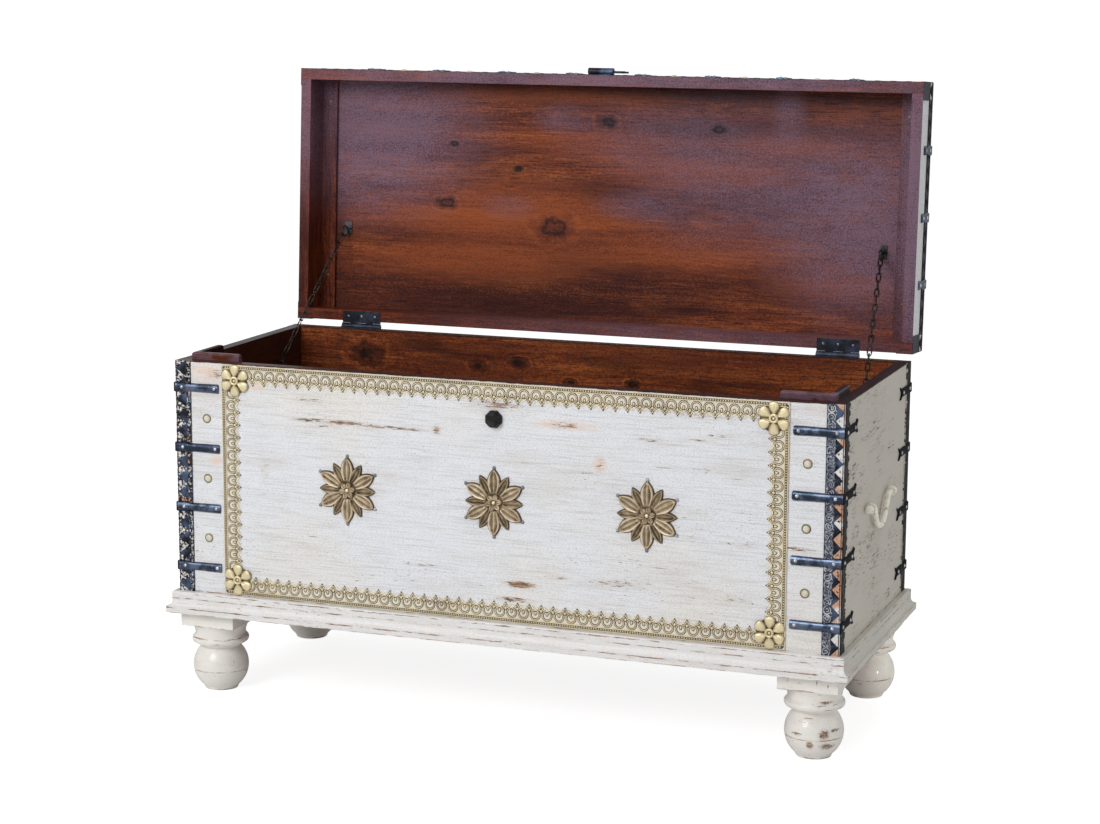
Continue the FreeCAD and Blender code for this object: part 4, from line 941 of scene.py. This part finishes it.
def border_cell(form, dark_marks, ring, bead, along, inward):
    """One ring with its bud, and the pendant after it, with dark brass round them in the hollows:
    painted shade and grime.
    """
    centre = ring + FRONT * PLATE_HIGH
    turn = arc(centre, inward, along, RING_RADIUS, 16, 344, 20)
    form.wire(turn, 1, 6, thin=1.25)
    dark_marks.wire(turn, 1.9, 6, thin=0.12)
    dark_marks.dome(centre + inward * 2.8, 2.9, 0.22, 8, 1, inward, 1.5)
    form.dome(centre + inward * 2.6, 1.8, 1.6, 8, 3, inward, 1.7)
    for side in (-1, 1):
        form.dome(centre + inward * 4 + along * (side * 2.9), 1.1, 1.1, 6, 2, inward, 1.5)
    drop = bead + FRONT * PLATE_HIGH
    form.dome(drop + inward * 23.4, 2.2, 1.6, 8, 3, inward, 1.3)
    dark_marks.dome(drop + inward * 23.4, 3, 0.24, 8, 1, inward, 1.3)
    for side in (-1, 1):
        form.dome(drop + inward * 27.4 + along * (side * 2.5), 1.6, 1.3, 8, 2)
        dark_marks.dome(drop + inward * 27.4 + along * (side * 2.5), 2.2, 0.2, 8, 1)
        hook = drop + inward * 22.8 + along * (side * 4.2)
        form.wire(arc(hook, inward, along * side, 3, -70, 150, 8), 0.5, 5)
    form.dome(drop + inward * 30, 1.7, 1.5, 8, 2)
    dark_marks.dome(drop + inward * 30, 2.3, 0.2, 8, 1)
    dark_marks.dome(drop + inward * 32.6, 1.3, 1.1, 6, 2)


def border_relief(form, dark_marks, start, along, inward, long):
    """Rings, pendants and the beaded rope of one side of the border."""
    run = long - 2 * BORDER_WIDE
    count = int(run / BORDER_PITCH)
    pitch = run / count
    for index in range(1, count):
        ring = start + along * (BORDER_WIDE + index * pitch) + inward * RING_DEEP
        drop = start + along * (BORDER_WIDE + (index + 0.5) * pitch)
        border_cell(form, dark_marks, ring, drop, along, inward)
    middle = ROPE_WIDE / 2
    # The dark line between the ropes is painted shade and grime
    for relief, deep, high, *size in ((form, 0.9, ROPE_HIGH, 0.7, 6),
                                      (form, ROPE_WIDE - 0.9, ROPE_HIGH, 0.7, 6),
                                      (dark_marks, middle, ROPE_HIGH + 0.05, 1.9, 4, False, 0.08)):
        ends = [start + along * (deep + (long - 2 * deep) * share) + inward * deep + FRONT * high
                for share in (0, 1)]
        relief.wire(ends, *size)
    beads = int((long - 16) / BEAD_PITCH)
    for index in range(beads + 1):
        place = start + along * (8 + index * (long - 16) / beads) + inward * middle
        form.dome(place + FRONT * ROPE_HIGH, 1.45, 1.2, 6, 2)


def add_border():
    right = HALF_LONG - BORDER_INSET
    top = RIM - BORDER_MARGIN
    low = PLINTH_TOP + BORDER_MARGIN
    y = -HALF_DEEP
    sides = (("top", (-right, y, top), RIGHT, DOWN, 2 * right),
             ("bottom", (-right, y, low), RIGHT, UP, 2 * right),
             ("left", (-right, y, low), UP, RIGHT, top - low),
             ("right", (right, y, low), UP, LEFT, top - low))
    for name, start, along, inward, long in sides:
        form, dark_marks = Form(), Form()
        border_relief(form, dark_marks, Vector(start), along, inward, long)
        make_piece("border_relief_" + name, form, "brass_border", soften=50)
        make_piece("border_hollows_" + name, dark_marks, "brass_hollow", soften=50)


ROSETTE_RADIUS = 27
ROSETTE_INSET = 111
ROSETTE_DROP = 28


def heading(angle):
    """A direction in the plane of the front."""
    return Vector((cos(angle), 0, sin(angle)))


def rosette(form, dark_marks, centre):
    """Six broad ribbed petals round a ring."""
    # Dark brass under the petals and round the heart: painted shade and grime between them
    dark_marks.dome(centre, ROSETTE_RADIUS * 0.84, 0.9, 30, 2)
    for petal in range(6):
        middle = pi / 6 + pi / 3 * petal
        rows = []
        for i in range(11):
            t = i / 10
            row = []
            for j in range(13):
                s = j / 6 - 1
                opening = 0.66 + 0.34 * sin(pi / 2 * min(1, t * 1.3))
                angle = middle + s * radians(28) * opening
                tip = 1 - 0.14 * s * s - 0.62 * max(0, abs(s) - 0.66)
                reach = 7 + (ROSETTE_RADIUS * tip - 7) * t
                pillow = (1 - abs(s) ** 2.6) ** 0.7
                swell = 0.45 + 0.55 * sin(pi * min(1, 0.15 + 0.72 * t))
                rib = 0.5 * cos(s * 13) * (1 - t * t)
                edge = 0 if i == 10 else 1
                rise = 0.5 + (3.4 * pillow * swell + rib) * edge
                row.append(centre + heading(angle) * reach + FRONT * max(rise, 0))
            rows.append(row)
        form.grid(rows)
    form.wire(arc(centre + FRONT * 3.2, RIGHT, UP, 5.6, 0, 345, 23), 2.1, 8, True)
    dark_marks.dome(centre + FRONT * 2.4, 8.6, 0.6, 18, 2)
    form.dome(centre + FRONT * 2.6, 2.6, 1.6, 12, 3)


def add_rosettes():
    form, dark_marks = Form(), Form()
    for side in (-1, 1):
        for z in (RIM - ROSETTE_DROP, PLINTH_TOP + ROSETTE_DROP):
            x = side * (HALF_LONG - ROSETTE_INSET)
            rosette(form, dark_marks, Vector((x, -HALF_DEEP - ROPE_HIGH, z)))
    make_piece("rosettes", form, "brass_rosette", replaced=("border_rosettes",))
    make_piece("rosette_hollows", dark_marks, "brass_hollow")


FLOWER_PITCH = 260
FLOWER_HIGH = RIM - 198.6
BIG_PETAL = 55
SMALL_PETAL = 49
PETAL_ACROSS = (-1, -0.93, -0.82, -0.68, -0.5, -0.28, -0.12, 0, 0.12, 0.28, 0.5, 0.68, 0.82, 0.93, 1)
NAIL_RING = 57


def petal_width(t, blunt):
    """Half width along a petal as a share: blunt at the heart, full in the middle, pointed."""
    if t < 0.5:
        return blunt + (1 - blunt) * sin(pi * t)
    return 1 - (2 * t - 1) ** 1.9


def flower_petal(form, dark_marks, centre, angle, start, end, half, base, high, blunt):
    """One pointed petal with a raised lip, a dished blade and a ribbed vein."""
    ahead = heading(angle)
    side = ahead.cross(FRONT)
    steps = 24
    rows = []
    for i in range(steps + 1):
        t = i / steps
        wide = max(half * petal_width(t, blunt), 0.25)
        ends = min(1, t / 0.1, (1 - t) / 0.08)
        row = []
        for s in PETAL_ACROSS:
            away = abs(s)
            lip = exp(-((away - 0.78) / 0.17) ** 2)
            vein = 0.62 * exp(-(away / 0.17) ** 2) * (1 if 0.12 < t < 0.88 else 0)
            bead = (0.12 if i % 2 else -0.08) * (1 - away) * min(1, 3 * away + 0.3)
            shut = 1 - min(1, t / 0.12, (1 - t) / 0.2)
            rise = base + high * ends * (0.04 + 0.96 * max(lip, vein + bead, 0.75 * shut))
            if away > 0.97:
                rise = base * 0.3
            row.append(centre + ahead * (start + (end - start) * t) + side * (s * wide)
                       + FRONT * rise)
        rows.append(row)
    form.grid(rows)
    # A dark outline under the petal: painted shade and grime round its edge
    outline = []
    for sign in (1, -1):
        for i in range(steps + 1):
            t = i / steps if sign > 0 else 1 - i / steps
            wide = max(half * petal_width(t, blunt), 0.3) + 1.1
            along = start + (end + 1.2 - start) * t
            outline.append(centre + ahead * along + side * (sign * wide))
    dark_marks.block(outline, FRONT, 0, base * 0.3 + 0.2)


def flower(form, dark_marks, centre):
    """Six big petals over six small ones, and buds round the heart."""
    # Dark brass under the petals: painted shade and grime
    dark_marks.dome(centre, 22, 1.2, 24, 3)
    for turn, *petal in ((0, 13, SMALL_PETAL, 7.8, 1, 3.6, 0.45),
                         (pi / 6, 14, BIG_PETAL, 11, 1.6, 4.2, 0.45),
                         (0.2, 4, 14.6, 4.4, 2.6, 2.6, 0.4)):
        for k in range(6):
            flower_petal(form, dark_marks, centre, turn + pi / 3 * k, *petal)
    form.dome(centre + FRONT * 2.4, 3.6, 3.4, 12, 4)


def add_flowers():
    nails = Form()
    for name, place in (("left", -1), ("centre", 0), ("right", 1)):
        centre = Vector((place * FLOWER_PITCH, -HALF_DEEP, FLOWER_HIGH))
        form, dark_marks = Form(), Form()
        flower(form, dark_marks, centre)
        make_piece("flower_hollows_" + name, dark_marks, "brass_hollow")
        make_piece("flower_petals_" + name, form, "brass_flower", replaced=("flower_" + name,))
        for k in range(6):
            angle = pi / 6 + pi / 3 * k
            nails.dome(centre + heading(angle) * NAIL_RING, 3.3, 2.6, 10, 3)
            seat = centre + heading(angle - 0.52) * (SMALL_PETAL + 0.5)
            nails.dome(seat, 1.6, 1.4, 8, 2)
    make_piece("flower_tacks", nails, "iron_tack", replaced=("flower_nails",))


# Embossed iron along the corners

STRIP_THICK = 1
TOOTH_PITCH = 26.5


def toothed_row(form, start, along, inward, out, long, wide, curls=None, curled=8.5):
    """A row of triangles that point to the edge, edge lines and a column of curls."""
    count = max(1, round(long / TOOTH_PITCH))
    pitch = long / count
    half = pitch * 0.5
    base = wide - curled - 1 if curls else 2
    tip = 1.5 if curls else wide - 3
    for index in range(count):
        middle = start + along * ((index + 0.5) * pitch)
        low = middle + inward * base
        high = middle + inward * tip
        outline = [low - along * half, low + along * half, high + along * 1.2, high - along * 1.2]
        form.block(outline, out, STRIP_THICK, STRIP_THICK + 0.7, 0.16)
        foot = middle + inward * (base * 0.82 + tip * 0.18)
        inner = [foot - along * (half * 0.55), foot + along * (half * 0.55),
                 middle + inward * (base * 0.32 + tip * 0.68)]
        form.block(inner, out, STRIP_THICK + 0.6, STRIP_THICK + 1.2, 0.4)
        for share, turn in ((0.25, 1), (0.75, -1)) if curls else ():
            reach = curled / 2 - 0.8
            seat = (start + along * ((index + share) * pitch) + inward * (wide - reach - 1.6)
                    + out * STRIP_THICK)
            outer = arc(seat, inward, along, reach, -60 * turn, 230 * turn, 12)
            curls.wire(outer, 0.8, 5, normal=out)
            eye = arc(seat, inward, along, reach * 0.45, 60 * turn, 300 * turn, 8)
            curls.wire(eye, 0.6, 5, normal=out)
            leaf = seat - inward * (reach + 1.6) + along * (turn * 4.2)
            curls.dome(leaf, 0.8, 1.3, 6, 2, (inward - along * turn).normalized(), 2.8, out)
    for deep in (0.8, wide - 0.8):
        end = start + inward * deep + out * STRIP_THICK
        form.wire([end, end + along * long], 0.7, 6, normal=out)


def add_corner_relief():
    """Triangles and curls on the four corner strips; the curls are pale on the right."""
    for side, across in (("left", -1), ("right", 1)):
        for end, depth in (("front", -1), ("back", 1)):
            corner = Vector((across * HALF_LONG, depth * HALF_DEEP, PLINTH_TOP))
            high = RIM - PLINTH_TOP
            front, curls, flank = Form(), Form(), Form()
            curled, curl = (13.5, "iron_curl") if across > 0 else (7.5, "iron_strip")
            toothed_row(front, corner, UP, LEFT * across, BACK * depth, high, 28, curls, curled)
            toothed_row(flank, corner, UP, FRONT * depth, RIGHT * across, high, 30)
            for kind, form, material in (("relief", front, "iron_strip"), ("curls", curls, curl),
                                         ("side", flank, "iron_ground")):
                make_piece(f"strip_{kind}_{end}_{side}", form, material, soften=40)


def add_lid_relief():
    top, edge, curls = Form(), Form(), Form()
    long = 2 * HALF_LONG
    deep = 2 * HALF_DEEP
    for depth, inward in ((-1, BACK), (1, FRONT)):
        corner = Vector((-HALF_LONG, depth * HALF_DEEP, LID_TOP))
        toothed_row(top, corner, RIGHT, inward, UP, long, 28, curls)
        toothed_row(edge, corner, RIGHT, DOWN, -inward, long, 25)
    for side in (-1, 1):
        corner = Vector((side * HALF_LONG, -HALF_DEEP, LID_TOP))
        toothed_row(top, corner + BACK * 28, BACK, LEFT * side, UP, deep - 56, 28, curls)
        toothed_row(edge, corner, BACK, DOWN, RIGHT * side, deep, 25)
    for name, form, material in (("lid_strip_relief", top, "iron_lid_strip"),
                                 ("lid_strip_curls", curls, "iron_curl"),
                                 ("lid_edge_relief", edge, "iron_side")):
        make_piece(name, form, material, "lid", soften=40)


STUD_RADIUS = 6.5
STUD_INSET = 56.5
LID_STRAP_PITCH = 128
LID_STUD_RISE = 30


def add_stud_rings():
    """A dirty ring round each cream stud, on the case and on the lid."""
    x = HALF_LONG - STUD_INSET
    case = [(x, RIM - STRAP_FIRST - STRAP_PITCH * (row + 0.5)) for row in range(3)]
    lid = [((row + 1) * LID_STRAP_PITCH, LID_BOTTOM + LID_STUD_RISE) for row in range(3)]
    for name, body, seats in (("stud_rings", "chest", case), ("lid_stud_rings", "lid", lid)):
        form = Form()
        for side in (-1, 1):
            for x, z in seats:
                seat = Vector((side * x, -HALF_DEEP, z))
                ring = arc(seat, RIGHT, UP, STUD_RADIUS + 0.2, 0, 345, 23)
                form.wire(ring, 1.15, 6, True)
        make_piece(name, form, "stud_ring", body)


LID_BATTEN_PLACE = 542
LID_BATTEN_FACE = LID_UNDER - 6


def add_lid_tacks():
    """Small nail heads in the battens inside the lid."""
    form = Form()
    for side in (-1, 1):
        for y in (-170, 150):
            seat = Vector((side * LID_BATTEN_PLACE, y, LID_BATTEN_FACE))
            form.dome(seat, 2.4, 0.8, 10, 2, out=DOWN)
    make_piece("lid_tacks", form, "stud_ring", "lid")


HINGE_PLACE = 446.5
HINGE_PLAY = 0.15
SCREW_Y = 219
SCREW_RISE = 0.1


def add_hinge_screws():
    """Three slotted screw heads, almost flush, in each leaf."""
    for name, body, out in (("box", "chest", UP), ("lid", "lid", DOWN)):
        heads, slots = Form(), Form()
        for side in (-1, 1):
            for x in (-26, 0, 26):
                seat = Vector((side * HINGE_PLACE + x, SCREW_Y, HINGE_Z - out.z * HINGE_PLAY))
                heads.dome(seat - out * 0.3, 3.6, 0.3 + SCREW_RISE * 0.6, 14, 3, out=out)
                turn = Vector((cos(x), sin(x), 0))
                across = turn.cross(out)
                slot = [seat + turn * (a * 2.8) + across * (b * 0.55) for a, b in SQUARE]
                slots.block(slot, out, -0.2, SCREW_RISE)
        make_piece("hinge_screws_" + name, heads, "iron_nail", body)
        make_piece("hinge_slots_" + name, slots, "iron_old", body, soften=None)


def round_off(*beginnings):
    """Smooths round CAD nodes with a subdivision modifier."""
    for node in starting(*beginnings):
        for face in node.data.polygons:
            face.use_smooth = True
        modifier = node.modifiers.new("smooth", "SUBSURF")
        modifier.levels = 1
        modifier.render_levels = 1


dress_wood()
dress_metal()
add_border()
add_rosettes()
add_flowers()
add_corner_relief()
add_lid_relief()
add_stud_rings()
add_lid_tacks()
add_hinge_screws()
round_off("chain_left", "chain_right", "handle_left", "handle_right")
add_stage()
